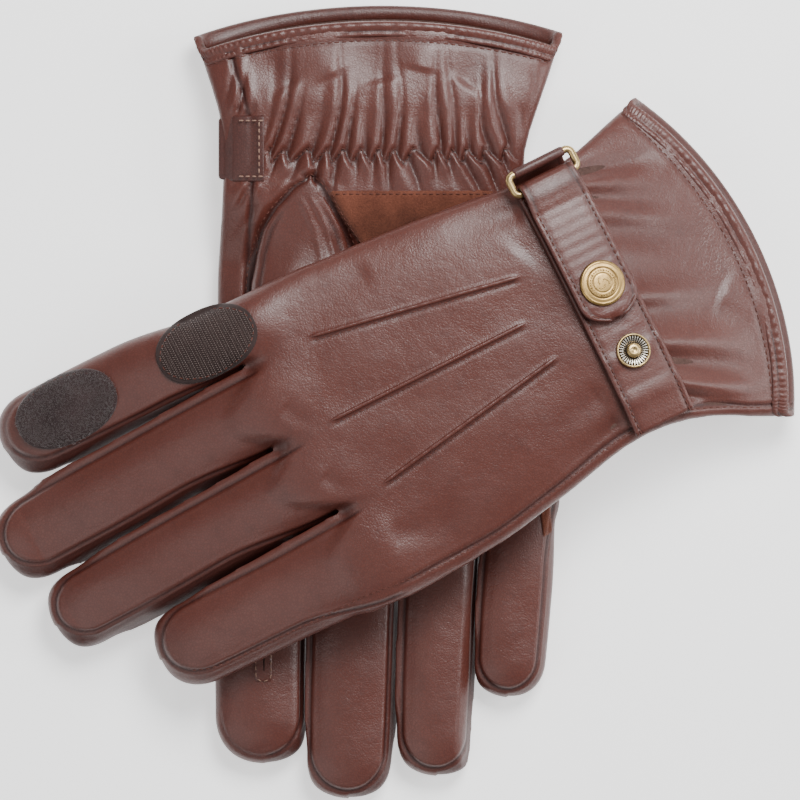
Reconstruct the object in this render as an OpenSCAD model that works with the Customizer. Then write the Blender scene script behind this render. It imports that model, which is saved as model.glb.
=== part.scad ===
// A pair of lined leather gloves, crossed: the right one lies palm up, the left one lies
// over it back up. Each glove is drawn in its own plan, u towards the fingertips and v
// towards the little finger, with heights measured from the glove's middle surface.

/* [Glove] */
// Half thickness of the palm
palm_half = 8.5; // [7.5:0.1:9]
// Half thickness of a finger
finger_half = 8; // [7:0.1:8.5]
// Half thickness of the wrist
wrist_half = 6.6; // [6.4:0.1:6.8]
// Half height of the open mouth
mouth_half = 9; // [8:0.1:10]
// Half thickness of the right glove's back where it is pressed flat on the ground
rest_half = 6.6; // [6.5:0.1:6.7]
// Thickness of leather in a panel
leather = 1.5; // [1.3:0.1:1.6]

/* [Stack] */
// Angle between the left glove and the right one's fingers
cross_angle = 26.5; // [20:0.5:30]
// Height of the left glove's middle surface where it lies over the other
left_lift = 36; // [36:0.1:38]
// Height of the left glove's middle surface at its fingertips and cuff
left_tip_lift = 9.2; // [9:0.1:12]

/* [Strap] */
// Width of the strap
strap_w = 22; // [20:0.5:23]
// Thickness of the strap
strap_t = 1.8; // [1.6:0.1:2]
// Diameter of the snap cap
cap_d = 15.3; // [14:0.1:16]
// Diameter of a snap stud's rim
stud_d = 11.6; // [11:0.1:12]

/* [Fingertip] */
// Distance along the glove of the line where the index fingertip folds
fold_u = 146; // [144:1:148]
// Length of an oval patch
patch_l = 35; // [28:1:36]
// Width of an oval patch
patch_w = 24; // [18:1:25]
// How far the patches sit towards the index finger's outer side
patch_shift = 2; // [0:0.5:3]

/* [Hidden] */
SIDES = ["left", "right"];
PARTS = ["back_panel", "palm_panel", "fourchettes", "thumb", "index_tip", "lining",
    "cuff_hem", "wrist_elastic", "palm_patch", "side_wedge", "slit_welt", "back_points",
    "strap", "strap_tab", "buckle", "keeper", "snap_cap", "snap_socket", "snap_studs",
    "loop_patch", "hook_patch"];
LEFT = 0;
RIGHT = 1;

leather_brown = "#6e443c";
lining_brown = "#4a3430";
suede_rust = "#8a4a2c";
antique_brass = "#b8975a";

// Where each glove's plan lies: wrist point, turn, and +1 where the back faces up.
origin = [[67.9, 28.9], [-3.7, 78.7]];
turn = [180 + cross_angle, -90];
up = [1, -1];

// Edges of hand and cuff: [u, index side, little finger side], from the mouth to the knuckles.
edges = [
    [[-56, -61, 61], [-36, -57, 56], [-18, -51.5, 46], [-4, -50, 42], [12, -51.5, 42.5],
        [36, -54.5, 48], [62, -57, 53], [88, -57.5, 54], [112, -58, 54.5]],
    [[-56, -61, 61], [-36, -58, 57], [-18, -54, 51], [-4, -52.5, 46], [12, -53, 47],
        [36, -54.5, 50], [62, -55, 54], [88, -55, 57], [112, -55, 58.5]]];
// Corners and middle of the cuff's edge along u.
mouth_u = [[-41, -56], [-42, -51]];
// Ends of the knuckle line and the three crotches between fingers: [u, v].
crotch = [
    [[106, -58], [109.5, -36], [113, -7.5], [103, 20.5], [100, 54.5]],
    [[106, -55], [110, -24], [113, 7], [104, 34], [102, 58.5]]];
// Tip of each finger and its half width there: [u, v, half width], index first.
tips = [
    [[195, -48.3, 13.4], [209, -16.6, 13.8], [204, 10.6, 12.6], [178, 38.6, 14.4]],
    [[196, -38, 14.6], [208.5, -9.5, 13.6], [201, 18.2, 13], [175, 44, 12.2]]];
// Thumb base, thumb tip: [u, v], lying on the palm side.
thumb_ends = [[[12, -38], [76, -14]], [[14, -24], [79, -30]]];
thumb_half = 13;
thumb_depth = 4.9;

m = 4;                         // strips across one finger
cols = 4 * m;                  // strips across the hand
hand_rows = 14;
finger_rows = 8;
round_from = 0.84;             // where a fingertip starts to round off
wall_edge = 0.5;               // height of a finger's side wall, as a share of its half
seam_gap = 0.1;
patch_room = 1.45;

function mix(a, b, q) = a + (b - a) * q;
function clamp(q) = min(1, max(0, q));
function ease(q) = let (c = clamp(q)) c * c * (3 - 2 * c);
function near(list, u, k, i = 0) = i >= len(list) - 2 || u < list[i + 1][0]
    ? mix(list[i][k], list[i + 1][k], clamp((u - list[i][0]) / (list[i + 1][0] - list[i][0])))
    : near(list, u, k, i + 1);
// Edge position, smoothed by averaging over a short reach.
function edge(g, u, k) = (near(edges[g], u - 7, k) + 2 * near(edges[g], u, k)
    + near(edges[g], u + 7, k)) / 4;

// Height of the middle surface. The left glove lies over the other and hangs to the
// ground at both ends; the right glove's wrist stands on its strap.
function mid(g, u) = g == LEFT
    ? mix(mix(left_tip_lift, left_lift, clamp((200 - u) / 95) + 0.035
        * (ease((200 - u) / 30) - ease((118 - u) / 26))), left_tip_lift + 1.5,
        ease((4 - u) / 62))
    : mix(mix(rest_half, 10.2, ease((2 - u) / 40)), 15.6,
        ease((u + 48) / 30) * ease((34 - u) / 26));
// The right glove's back is pressed flat: room is left for the raised points and patches.
function pressed(g, side, u, index) = g == LEFT || side < 0 ? 99
    : mid(g, u) - mix(1, index ? patch_room : 0, ease((u - 96) / 12));
// Half thickness along the hand.
function half(u) = mix(mix(palm_half, wrist_half, ease((45 - u) / 45)), mouth_half,
    ease((-14 - u) / 34));
function crown(t) = pow(max(0, 1 - pow(abs(t), 2.6)), 0.5);

// Plan of the hand's columns.
function col_f(c) = min(3, floor(c / m));
function knuckle(g, c) = let (f = col_f(c), q = (c - f * m) / m)
    [for (k = [0, 1]) mix(crotch[g][f][k], crotch[g][f + 1][k],
        k == 0 ? q : (1 - cos(180 * q)) / 2)];
function col_q(g, c) = (knuckle(g, c)[1] - crotch[g][0][1])
    / (crotch[g][4][1] - crotch[g][0][1]);
function hand_plan(g, r, c) = let (q = col_q(g, c), t = 2 * q - 1,
    u0 = mix(mouth_u[g][1], mouth_u[g][0], t * t), u = mix(u0, knuckle(g, c)[0], r / hand_rows))
    [u, mix(edge(g, u, 1), edge(g, u, 2), q)];
function hand_top(g, r, c) = let (p = hand_plan(g, r, c), t = 2 * col_q(g, c) - 1,
    q = (c % m) / m, dip = 0.2 * ease((p[0] - 66) / 44) * pow(abs(cos(180 * q)), 2)
    * (c == 0 || c == cols ? 0 : 1))
    half(p[0]) * crown(t) * (1 - dip) + seam_gap;

// Plan of a finger: share s of its length from the crotch, t from -1 to 1 across it.
function finger_end(g, f) = f == 0 ? [fold_u - 0.3, mix(crotch_mid(g, 0)[1], tips[g][0][1],
    (fold_u - crotch_mid(g, 0)[0]) / (tips[g][0][0] - crotch_mid(g, 0)[0])), tips[g][0][2]]
    : tips[g][f];
function crotch_mid(g, f) = (crotch[g][f] + crotch[g][f + 1]) / 2;
function round_off(f, s) = f == 0 ? 1
    : sqrt(max(0.03, 1 - pow(max(0, s - round_from) / (1 - round_from), 2)));
function finger_s(f, r) = let (q = r / finger_rows) f == 0 ? q
    : r < 5 ? q * 1.34 : round_from + (1 - round_from) * sin(90 * (r - 4.6) / 3.45);
function base_half(g, f) = (crotch[g][f + 1][1] - crotch[g][f][1]) / 2 - 0.4;
function finger_w(g, f, s) = mix(base_half(g, f), finger_end(g, f)[2], ease(s * 1.4))
    * round_off(f, s);
function finger_mid(g, f, s) = let (a = crotch_mid(g, f), b = finger_end(g, f))
    [mix(a[0], b[0], s), mix(a[1], b[1], s)];
function finger_plan(g, f, s, t) = let (c = finger_mid(g, f, s),
    a = mix(crotch[g][f], crotch[g][f + 1], (t + 1) / 2), w = finger_w(g, f, s))
    [mix(a[0], c[0], clamp(s * 5)), c[1] + t * w];
function outer_side(f, t) = (f == 0 && t < 0) || (f == 3 && t > 0);
function side_h(f, t) = outer_side(f, t) ? 0 : wall_edge;
function finger_crown(f, t) = let (e = side_h(f, t)) e + (1 - e) * sqrt(max(0, 1 - t * t));
function finger_top(g, f, s, c) = let (t = -cos(180 * c / m))
    mix(hand_top(g, hand_rows, f * m + c), finger_half * finger_crown(f, t), ease(s * 6))
    * mix(1, round_off(f, s), 0.8);

// The four surfaces of a panel: outer skin and inner skin of hand and fingers.
function at(g, side, p, w) = [p[0], p[1], mid(g, p[0]) + side * up[g] * w];
function hand_in(g, r, c) = let (p = hand_plan(g, r, c), v0 = edge(g, p[0], 1),
    v1 = edge(g, p[0], 2), vc = (v0 + v1) / 2, k = 1 - 2 * leather / (v1 - v0))
    [p[0], vc + (p[1] - vc) * k];
function hand_in_w(g, r, c) = let (w = hand_top(g, r, c), h = half(hand_plan(g, r, c)[0]))
    max(seam_gap, w * (h - leather) / h);
function finger_in(g, f, s, c) = let (t = -cos(180 * c / m), w = finger_w(g, f, s))
    finger_plan(g, f, s, t * max(0.3, 1 - leather / w));
function finger_in_w(g, f, s, c) = let (t = -cos(180 * c / m), w = finger_top(g, f, s, c),
    e = side_h(f, t) * finger_half * round_off(f, s))
    max(seam_gap, c == 0 || c == m ? w - 0.05 : w - leather * mix(0.6, 1, sin(180 * c / m)));

hand_n = (hand_rows + 1) * (cols + 1);
skin_n = hand_n + 4 * finger_rows * (m + 1);
function hi(r, c) = r * (cols + 1) + c;
function fi(f, r, c) = r == 0 ? hi(hand_rows, f * m + c)
    : hand_n + (f * finger_rows + r - 1) * (m + 1) + c;
function quad(a, b, c, d) = [[a, b, c], [a, c, d]];
function cell_faces(a, b, c, d) = concat(quad(d, c, b, a),
    quad(a + skin_n, b + skin_n, c + skin_n, d + skin_n));
function wall(a, b) = quad(a, a + skin_n, b + skin_n, b);
function flat(list) = [for (l = list) for (x = l) x];

function hand_skin(g, side, r, c) = let (p = hand_plan(g, r, c))
    at(g, side, p, min(hand_top(g, r, c), pressed(g, side, p[0], c < m)));

// A hand-shaped shell: the back (side 1) or the palm (side -1) of glove g.
module panel(g, side) {
    skin = concat(
        [for (r = [0:hand_rows]) for (c = [0:cols]) hand_skin(g, side, r, c)],
        [for (f = [0:3]) for (r = [1:finger_rows]) for (c = [0:m])
            let (s = finger_s(f, r), p = finger_plan(g, f, s, -cos(180 * c / m)))
            at(g, side, p, min(finger_top(g, f, s, c), pressed(g, side, p[0], f == 0)))],
        [for (r = [0:hand_rows]) for (c = [0:cols]) let (p = hand_in(g, r, c))
            at(g, side, p, min(hand_in_w(g, r, c),
                pressed(g, side, p[0], c < m) - leather))],
        [for (f = [0:3]) for (r = [1:finger_rows]) for (c = [0:m])
            let (s = finger_s(f, r), p = finger_in(g, f, s, c))
            at(g, side, p, min(finger_in_w(g, f, s, c),
                pressed(g, side, p[0], f == 0) - leather))]);
    faces = concat(
        flat([for (r = [0:hand_rows - 1]) for (c = [0:cols - 1])
            cell_faces(hi(r, c), hi(r + 1, c), hi(r + 1, c + 1), hi(r, c + 1))]),
        flat([for (f = [0:3]) for (r = [0:finger_rows - 1]) for (c = [0:m - 1])
            cell_faces(fi(f, r, c), fi(f, r + 1, c), fi(f, r + 1, c + 1), fi(f, r, c + 1))]),
        flat([for (c = [0:cols - 1]) wall(hi(0, c), hi(0, c + 1))]),
        flat([for (r = [0:hand_rows - 1]) wall(hi(r + 1, 0), hi(r, 0))]),
        flat([for (r = [0:hand_rows - 1]) wall(hi(r, cols), hi(r + 1, cols))]),
        flat([for (f = [0:3]) for (r = [0:finger_rows - 1]) wall(fi(f, r + 1, 0), fi(f, r, 0))]),
        flat([for (f = [0:3]) for (r = [0:finger_rows - 1]) wall(fi(f, r, m), fi(f, r + 1, m))]),
        flat([for (f = [0:3]) for (c = [0:m - 1])
            wall(fi(f, finger_rows, c + 1), fi(f, finger_rows, c))]));
    mirrored = side * up[g] > 0;
    polyhedron(skin, mirrored ? faces : [for (t = faces) [t[2], t[1], t[0]]]);
}

// A closed solid between two grids of points with the same rows and columns.
module slab(top, bottom) {
    rows = len(top);
    w = len(top[0]);
    n = rows * w;
    faces = concat(
        flat([for (r = [0:rows - 2]) for (c = [0:w - 2]) let (a = r * w + c)
            concat(quad(a, a + w, a + w + 1, a + 1),
                quad(a + 1 + n, a + w + 1 + n, a + w + n, a + n))]),
        flat([for (c = [0:w - 2]) quad(c, c + 1, c + 1 + n, c + n)]),
        flat([for (c = [0:w - 2]) let (a = (rows - 1) * w + c)
            quad(a + 1, a, a + n, a + 1 + n)]),
        flat([for (r = [0:rows - 2]) quad(r * w + w, r * w, r * w + n, r * w + w + n)]),
        flat([for (r = [0:rows - 2]) let (a = r * w + w - 1)
            quad(a, a + w, a + w + n, a + n)]));
    polyhedron(concat(flat(top), flat(bottom)), [for (t = faces) [t[2], t[1], t[0]]]);
}

// Outer height of the hand, or of the index finger past its crotch, at a plan point.
function skin_w(g, u, v) = let (v0 = edge(g, u, 1), v1 = edge(g, u, 2),
    hand = half(u) * crown(2 * (v - v0) / (v1 - v0) - 1),
    a = crotch_mid(g, 0), s = (u - a[0]) / (tips[g][0][0] - a[0]),
    fc = mix(a[1], tips[g][0][1], s), t = clamp(abs(v - fc) / tips[g][0][2]))
    mix(hand, finger_half * (wall_edge + (1 - wall_edge) * sqrt(1 - t * t)),
        ease((u - 104) / 14));
function on_skin(g, side, u, v, h) = at(g, side, [u, v],
    min(skin_w(g, u, v), pressed(g, side, u, u > 104)) + h);

// A thin piece lying on the skin, given its plan as a grid of [u, v].
module overlay(g, side, plan, h0, h1) {
    a = [for (row = plan) [for (p = row) on_skin(g, side, p[0], p[1], h1)]];
    b = [for (row = plan) [for (p = row) on_skin(g, side, p[0], p[1], h0)]];
    if (side * up[g] > 0) slab(a, b);
    else slab(b, a);
}
function oval(u, v, tilt) = [for (i = [-4:4]) let (x = sin(22.2 * i),
    y = sqrt(1 - x * x)) [for (j = [-2:2]) let (a = x * patch_l / 2,
    b = j / 2 * y * patch_w / 2) [u + a * cos(tilt) - b * sin(tilt),
        v + a * sin(tilt) + b * cos(tilt)]]];

// A ring of points around a tube's section: half width w, half height h, squared a little.
function ring(n, w, h) = [for (i = [0:n - 1]) let (a = 360 * i / n)
    [w * sign(cos(a)) * pow(abs(cos(a)), 0.85), h * sign(sin(a)) * pow(abs(sin(a)), 0.85)]];
// A hollow tube, closed at its far end if told: rows of [centre, half width, half height].
module tube(g, rows, wall, closed, n = 16) {
    count = len(rows);
    last = count - 1;
    outer = [for (k = [0:last]) [for (p = ring(n, rows[k][1], rows[k][2]))
        at(g, 1, rows[k][0] + p[0] * across(rows, k), p[1] + rows[k][3])]];
    inner = [for (k = [0:last]) [for (p = ring(n, rows[k][1] - wall, rows[k][2] - wall))
        at(g, 1, rows[k][0] + p[0] * across(rows, k)
            - (closed && k == last ? wall * along(rows, k) : [0, 0]), p[1] + rows[k][3])]];
    points = concat(flat(outer), flat(inner));
    k1 = count * n;
    ends = closed ? [[for (i = [0:n - 1]) last * n + i],
        [for (i = [n - 1:-1:0]) k1 + last * n + i]] : [];
    faces = concat(
        flat([for (k = [0:last - 1]) for (i = [0:n - 1]) let (j = (i + 1) % n, a = k * n)
            concat(quad(a + i, a + j, a + n + j, a + n + i),
                quad(k1 + a + n + i, k1 + a + n + j, k1 + a + j, k1 + a + i))]),
        flat([for (i = [0:n - 1]) let (j = (i + 1) % n) quad(j, i, k1 + i, k1 + j)]),
        closed ? ends : flat([for (i = [0:n - 1]) let (j = (i + 1) % n, a = last * n)
            quad(a + i, a + j, k1 + a + j, k1 + a + i)]));
    polyhedron(points, up[g] > 0 ? [for (f = faces) [for (i = [len(f) - 1:-1:0]) f[i]]] : faces);
}
function along(rows, k) = let (a = rows[max(0, k - 1)][0], b = rows[min(len(rows) - 1, k + 1)][0])
    (b - a) / norm(b - a);
function across(rows, k) = let (d = along(rows, k)) [-d[1], d[0]];

module place(g) {
    translate([origin[g][0], origin[g][1], 0]) rotate([0, 0, turn[g]]) children();
}
function slope(g, u) = -atan((mid(g, u + 1) - mid(g, u - 1)) / 2);

module back_panel(g) { color(leather_brown) place(g) panel(g, 1); }
module palm_panel(g) { color(leather_brown) place(g) panel(g, -1); }

// Side strips between the fingers: a wall each side of a gap, joined at the crotch.
function gap_path(g, f) = concat(
    [for (r = [finger_rows - 3:-1:1]) let (s = finger_s(f, r))
        [finger_plan(g, f, s, 1), [0, -1], finger_in_w(g, f, s, m)]],
    [[crotch[g][f + 1], [-1, 0], hand_in_w(g, hand_rows, (f + 1) * m)]],
    [for (r = [1:finger_rows - 3]) let (s = finger_s(f + 1, r))
        [finger_plan(g, f + 1, s, -1), [0, 1], finger_in_w(g, f + 1, s, 0)]]);
module fourchettes(g) {
    color(leather_brown) place(g) for (f = [0:2]) {
        path = gap_path(g, f);
        out = [for (p = path) [for (z = [1, 0, -1])
            at(g, 1, p[0] + 0.1 * p[1], z * (p[2] - 0.15))]];
        inn = [for (p = path) [for (z = [1, 0, -1])
            at(g, 1, p[0] + 1.2 * p[1], z * (p[2] - 0.15))]];
        if (up[g] > 0) slab(inn, out);
        else slab(out, inn);
    }
}

function thumb_row(g, q, k) = let (a = thumb_ends[g][0], b = thumb_ends[g][1])
    [mix(a, b, q), thumb_half * k, thumb_depth * mix(1, k, 0.6),
        -skin_w(g, mix(a, b, q)[0], mix(a, b, q)[1]) - thumb_depth - 0.15];
module thumb(g) {
    color(leather_brown) place(g) tube(g, [thumb_row(g, 0, 1), thumb_row(g, 0.25, 1.03),
        thumb_row(g, 0.5, 1), thumb_row(g, 0.72, 0.96), thumb_row(g, 0.88, 0.8),
        thumb_row(g, 0.97, 0.52)], leather, true);
}

function tip_row(g, u, k) = let (a = crotch_mid(g, 0), b = tips[g][0],
    q = (u - a[0]) / (b[0] - a[0]), lost = finger_half
    - min(finger_half, pressed(g, 1, u, true)))
    [[u, mix(a[1], b[1], q)], b[2] * k, (finger_half - lost / 2) * mix(1, k, 0.8), -lost / 2];
module index_tip(g) {
    end_u = tips[g][0][0];
    reach = end_u - fold_u;
    color(leather_brown) place(g) tube(g, [for (q = [0.01, 0.25, 0.5, 0.72, 0.87, 0.96, 1])
        tip_row(g, fold_u + reach * q, q < 0.6 ? 1
            : sqrt(1 - pow((q - 0.6) / 0.43, 2)))], leather, true);
}

module lining(g) {
    color(lining_brown) place(g) tube(g, [for (u = [-36:9:90])
        let (v0 = edge(g, u, 1), v1 = edge(g, u, 2), c = (v0 + v1) / 2,
            palm = half(u) - leather - 0.5 - 1.2 * ease((u - 50) / 40)
                - 1.2 * ease(1.6 - abs(u) / 20),
            back = min(palm, pressed(g, 1, u, false) - leather - 0.4))
        [[u, c], (v1 - v0) / 2 - 8, (palm + back) / 2, (back - palm) / 2]],
        0.5, false, 20);
}

// Binding on the lip: a strip just outside the skin, all round the mouth.
function hem_grid(g, side, h) = [for (q = [0.05, 0.5]) [for (c = [0:cols])
    mix(hand_skin(g, side, 0, c), hand_skin(g, side, 1, c), q) + [0, 0, side * up[g] * h]]];
module cuff_hem(g) {
    color(leather_brown) place(g) for (side = [1, -1]) {
        out = hem_grid(g, side, 0.9);
        inn = hem_grid(g, side, 0.12);
        if (side * up[g] > 0) slab(out, inn);
        else slab(inn, out);
    }
}

module wrist_elastic(g) {
    color(lining_brown) place(g) let (v0 = edge(g, 0, 1), v1 = edge(g, 0, 2))
        overlay(g, -1, [for (r = [0, 1]) [for (i = [0:10])
            [-7 + 7 * r, mix(v0 + 9, v1 - 9, i / 10)]]], -2.55, -1.75);
}

// Suede patch on the palm below the gathers, and the small wedge by the little finger.
module palm_patch(g) {
    color(suede_rust) place(g) overlay(g, -1, [for (r = [0:4]) [for (i = [0:4])
        [mix(11, 56, r / 4), mix(mix(-4, 22, r / 4), mix(37, 40, r / 4), i / 4)]]],
        0.35, 1.1);
}
module side_wedge(g) {
    color(suede_rust) place(g) overlay(g, -1, [for (r = [0:3]) [for (i = [0:2])
        [mix(62, 97, r / 3), edge(g, mix(62, 97, r / 3), 2) - mix(16, 6, i / 2)]]],
        0.12, 0.9);
}
module slit_welt(g) {
    color(leather_brown) place(g) overlay(g, -1, [for (r = [0:5]) [for (i = [-1:1])
        [mix(114, fold_u - 2, r / 5), finger_mid(g, 0, r / 5)[1] + i * 3.1]]], 0.12, 1);
}
module back_points(g) {
    rows = [[[20, -23], [87, -35.4]], [[25, -8], [93, -7.8]], [[21, 7], [87, 18]]];
    color(leather_brown) place(g) for (row = rows) overlay(g, 1,
        [for (r = [0:6]) [for (i = [-1, 1]) [mix(row[0][0], row[1][0], r / 6),
            mix(row[0][1], row[1][1], r / 6) + 0.9 * i]]], 0.12, 0.9);
}

// The strap crosses the wrist from the little finger seam to the buckle, passes under the
// buckle's inner bar and comes back over it as the tab.
strap_u = [-2.4, -5];
outer_bar_v = [-54, -51.5];
ring_l = 26;
ring_w = 9.5;
bar = 2.6;
play = 0.6;
cap_v = -9;
stud_v = 15.5;
tab_end_v = 3.5;
strap_lift = 0.3;
function hinge_v(g) = outer_bar_v[g] + ring_w - bar;
function band_c(g) = (edge(g, strap_u[g], 1) + edge(g, strap_u[g], 2)) / 2;
function band_r(g) = (edge(g, strap_u[g], 2) - edge(g, strap_u[g], 1)) / 2 + 3;
function strap_z(g, v) = half(strap_u[g]) * max(0.5, crown((v - band_c(g)) / band_r(g)));
function hinge_z(g) = strap_z(g, hinge_v(g)) + strap_lift + strap_t + play + bar / 2;
function tab_lift(g, v) = strap_lift + strap_t + 1.9
    + (bar + 2 * play - 1.9) * ease((hinge_v(g) + 9 - v) / 7);

// Children drawn flat on the tilted wrist plane, +Z out of the back.
module on_wrist(g) {
    translate([strap_u[g], 0, mid(g, strap_u[g])]) rotate([0, slope(g, strap_u[g]), 0])
        mirror([0, 0, up[g] > 0 ? 0 : 1]) children();
}
// A strip along v; each row is [v, height of its underside].
module band(rows, w) {
    bottom = [for (p = rows) [for (i = [1, -1]) [i * w / 2, p[0], p[1]]]];
    top = [for (p = rows) [for (i = [1, -1]) [i * w / 2, p[0], p[1] + strap_t]]];
    slab(top, bottom);
}
module snap_at(g, v, h) { on_wrist(g) translate([0, v, strap_z(g, v) + h]) children(); }

module strap(g) {
    v0 = hinge_v(g) - 2.5;
    color(leather_brown) place(g) on_wrist(g) band([for (i = [0:11]) let (v = mix(v0, 41, i / 11))
        [v, strap_z(g, v) + strap_lift]], strap_w);
}
module strap_tab(g) {
    v0 = hinge_v(g) + bar / 2;
    color(leather_brown) place(g) on_wrist(g) band([for (i = [0:9])
        let (v = mix(v0, tab_end_v, i / 9)) [v, strap_z(g, v) + tab_lift(g, v)]], strap_w - 2);
}
module snap_cap(g) {
    color(antique_brass) place(g) snap_at(g, cap_v, tab_lift(g, cap_v) + strap_t + 0.1)
        rotate_extrude() intersection() {
            translate([0, -11]) circle(r = 14);
            square([cap_d / 2, 4]);
        }
}
module snap_socket(g) {
    color(antique_brass) place(g) snap_at(g, cap_v, tab_lift(g, cap_v) - 1.1) difference() {
        cylinder(d = stud_d, h = 0.95);
        translate([0, 0, -0.5]) cylinder(d = 7, h = 2);
    }
}
// Two studs riveted to the strap: one under the cap, one free beside it.
module snap_studs(g) {
    color(antique_brass) place(g) for (v = [cap_v, stud_v])
        snap_at(g, v, strap_lift + strap_t + 0.05) {
            difference() {
                cylinder(d = stud_d, h = v == cap_v ? 0.5 : 1.4);
                translate([0, 0, 0.35]) cylinder(d = stud_d - 1.6, h = 2);
            }
            cylinder(d = 4.9, h = 1.5);
        }
}
// Rectangular ring standing at the edge of the wrist, its long bars along the glove.
module buckle(g) {
    color(antique_brass) place(g) on_wrist(g)
        translate([-ring_l / 2, outer_bar_v[g] - bar / 2, hinge_z(g) - bar / 2]) difference() {
            cube([ring_l, ring_w, bar]);
            translate([bar, bar, -1]) cube([ring_l - 2 * bar, ring_w - 2 * bar, bar + 2]);
        }
}
// Rolled leather round the outer bar, and its sewn end on the palm side.
module keeper(g) {
    color(leather_brown) place(g) {
        on_wrist(g) translate([-10, outer_bar_v[g], hinge_z(g)]) rotate([0, 90, 0])
            difference() {
                cylinder(r = 3, h = 20);
                translate([0, 0, -1]) cylinder(r = 2.1, h = 22);
            }
        overlay(g, -1, [for (r = [0:3]) [for (i = [0:2]) let (u = strap_u[g] - 11 + 22 * r / 3)
            [u, edge(g, u, 1) + 2.5 + 5 * i]]], 0.5, 1.5);
    }
}

loop_u = 171.5;
module loop_patch(g) {
    color("#3c2d2d") place(g) overlay(g, 1, oval(loop_u, patch_v(g, loop_u), 0), 0.12, 1.3);
}
module hook_patch(g) {
    color("#504140") place(g) overlay(g, 1, oval(2 * fold_u - loop_u,
        patch_v(g, 2 * fold_u - loop_u), 0), 0.12, 1.3);
}
function patch_v(g, u) = let (a = crotch_mid(g, 0), b = tips[g][0])
    mix(a[1], b[1], (u - a[0]) / (b[0] - a[0])) - patch_shift;

module part(g, name) {
    if (name == "back_panel") back_panel(g);
    if (name == "palm_panel") palm_panel(g);
    if (name == "fourchettes") fourchettes(g);
    if (name == "thumb") thumb(g);
    if (name == "index_tip") index_tip(g);
    if (name == "lining") lining(g);
    if (name == "cuff_hem") cuff_hem(g);
    if (name == "wrist_elastic") wrist_elastic(g);
    if (name == "palm_patch") palm_patch(g);
    if (name == "side_wedge") side_wedge(g);
    if (name == "slit_welt") slit_welt(g);
    if (name == "back_points") back_points(g);
    if (name == "strap") strap(g);
    if (name == "strap_tab") strap_tab(g);
    if (name == "buckle") buckle(g);
    if (name == "keeper") keeper(g);
    if (name == "snap_cap") snap_cap(g);
    if (name == "snap_socket") snap_socket(g);
    if (name == "snap_studs") snap_studs(g);
    if (name == "loop_patch") loop_patch(g);
    if (name == "hook_patch") hook_patch(g);
}

for (g = [LEFT, RIGHT]) for (p = PARTS)
    part(g, p);
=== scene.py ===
import math

import bpy
import numpy as np
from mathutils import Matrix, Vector
from mathutils.bvhtree import BVHTree


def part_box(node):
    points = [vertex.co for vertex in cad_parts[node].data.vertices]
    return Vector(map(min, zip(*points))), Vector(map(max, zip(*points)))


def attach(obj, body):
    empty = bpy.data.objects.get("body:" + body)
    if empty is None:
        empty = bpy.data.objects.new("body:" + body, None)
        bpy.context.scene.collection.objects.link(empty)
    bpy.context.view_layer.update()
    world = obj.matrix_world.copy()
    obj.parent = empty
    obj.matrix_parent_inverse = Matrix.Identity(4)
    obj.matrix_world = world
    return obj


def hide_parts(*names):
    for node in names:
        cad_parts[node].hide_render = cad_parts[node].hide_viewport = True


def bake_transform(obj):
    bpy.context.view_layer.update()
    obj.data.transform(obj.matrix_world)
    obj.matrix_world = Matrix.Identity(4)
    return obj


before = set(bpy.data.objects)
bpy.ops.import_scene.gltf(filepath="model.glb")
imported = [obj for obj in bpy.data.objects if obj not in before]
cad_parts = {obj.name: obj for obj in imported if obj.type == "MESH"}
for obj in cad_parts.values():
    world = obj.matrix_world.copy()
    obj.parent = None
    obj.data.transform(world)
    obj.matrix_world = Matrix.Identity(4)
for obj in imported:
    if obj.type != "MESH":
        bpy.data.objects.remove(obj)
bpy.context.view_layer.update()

# A pair of lined leather gloves, crossed. Each glove is shaped in its own plan, in
# millimetres: u runs from the wrist to the fingertips, v towards the little finger, and w
# is the height out of the back of the hand. set_down() lays that shape in the frame.

MM = 0.001
LEFT, RIGHT = 0, 1
NAMES = ("left", "right")
CROSS_ANGLE = 26.5
TURN = (math.radians(180 + CROSS_ANGLE), math.radians(-90))
UP = (1, -1)

# Driving sizes, shared with the frame.
PALM_HALF = 8.5
FINGER_HALF = 8.0
WRIST_HALF = 6.6
MOUTH_HALF = 9.0
REST_HALF = 6.6
LEFT_LIFT = 36.0
LEFT_TIP_LIFT = 9.2
FOLD_U = 146.0
STRAP_U = (-2.4, -5.0)
STRAP_W = 22.0
STRAP_T = 1.8
CAP_V = -9.0
STUD_V = 15.5
TAB_END_V = 3.5
PATCH_L = 35.0
PATCH_W = 22.6
LOOP_U = 171.5

# Edges of hand and cuff: (u, index side, little finger side).
EDGES = (
    np.array([(-56, -61, 61), (-36, -57, 56), (-18, -51.5, 46), (-4, -50, 42),
              (12, -51.5, 42.5), (36, -54.5, 48), (62, -57, 53), (88, -57.5, 54),
              (112, -58, 54.5)]),
    np.array([(-56, -66, 61), (-36, -60, 57), (-18, -54, 51), (-4, -52.5, 46),
              (12, -53, 47), (36, -54.5, 50), (62, -55, 54), (88, -55, 57),
              (112, -55, 58.5)]))
HAND_POWER = 2.45
MOUTH_U = ((-41.0, -56.0), (-42.0, -51.0))
CROTCH = (
    np.array([(106, -58), (109.5, -36), (113, -7.5), (103, 20.5), (100, 54.5)]),
    np.array([(106, -55), (110, -24), (113, 7), (104, 34), (102, 58.5)]))
TIPS = (
    np.array([(196, -48.3, 14.4), (212, -16.6, 14.6), (207, 11.5, 13.8), (181, 37.5, 15)]),
    np.array([(198, -39.5, 16.2), (209.5, -11.5, 15.4), (202, 17.5, 13.9), (176, 41, 12.6)]))


def ease(q):
    q = np.clip(q, 0, 1)
    return q * q * (3 - 2 * q)


def blend_min(a, b, reach):
    h = np.maximum(reach - np.abs(a - b), 0) / reach
    return np.minimum(a, b) - h * h * reach / 4


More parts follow.
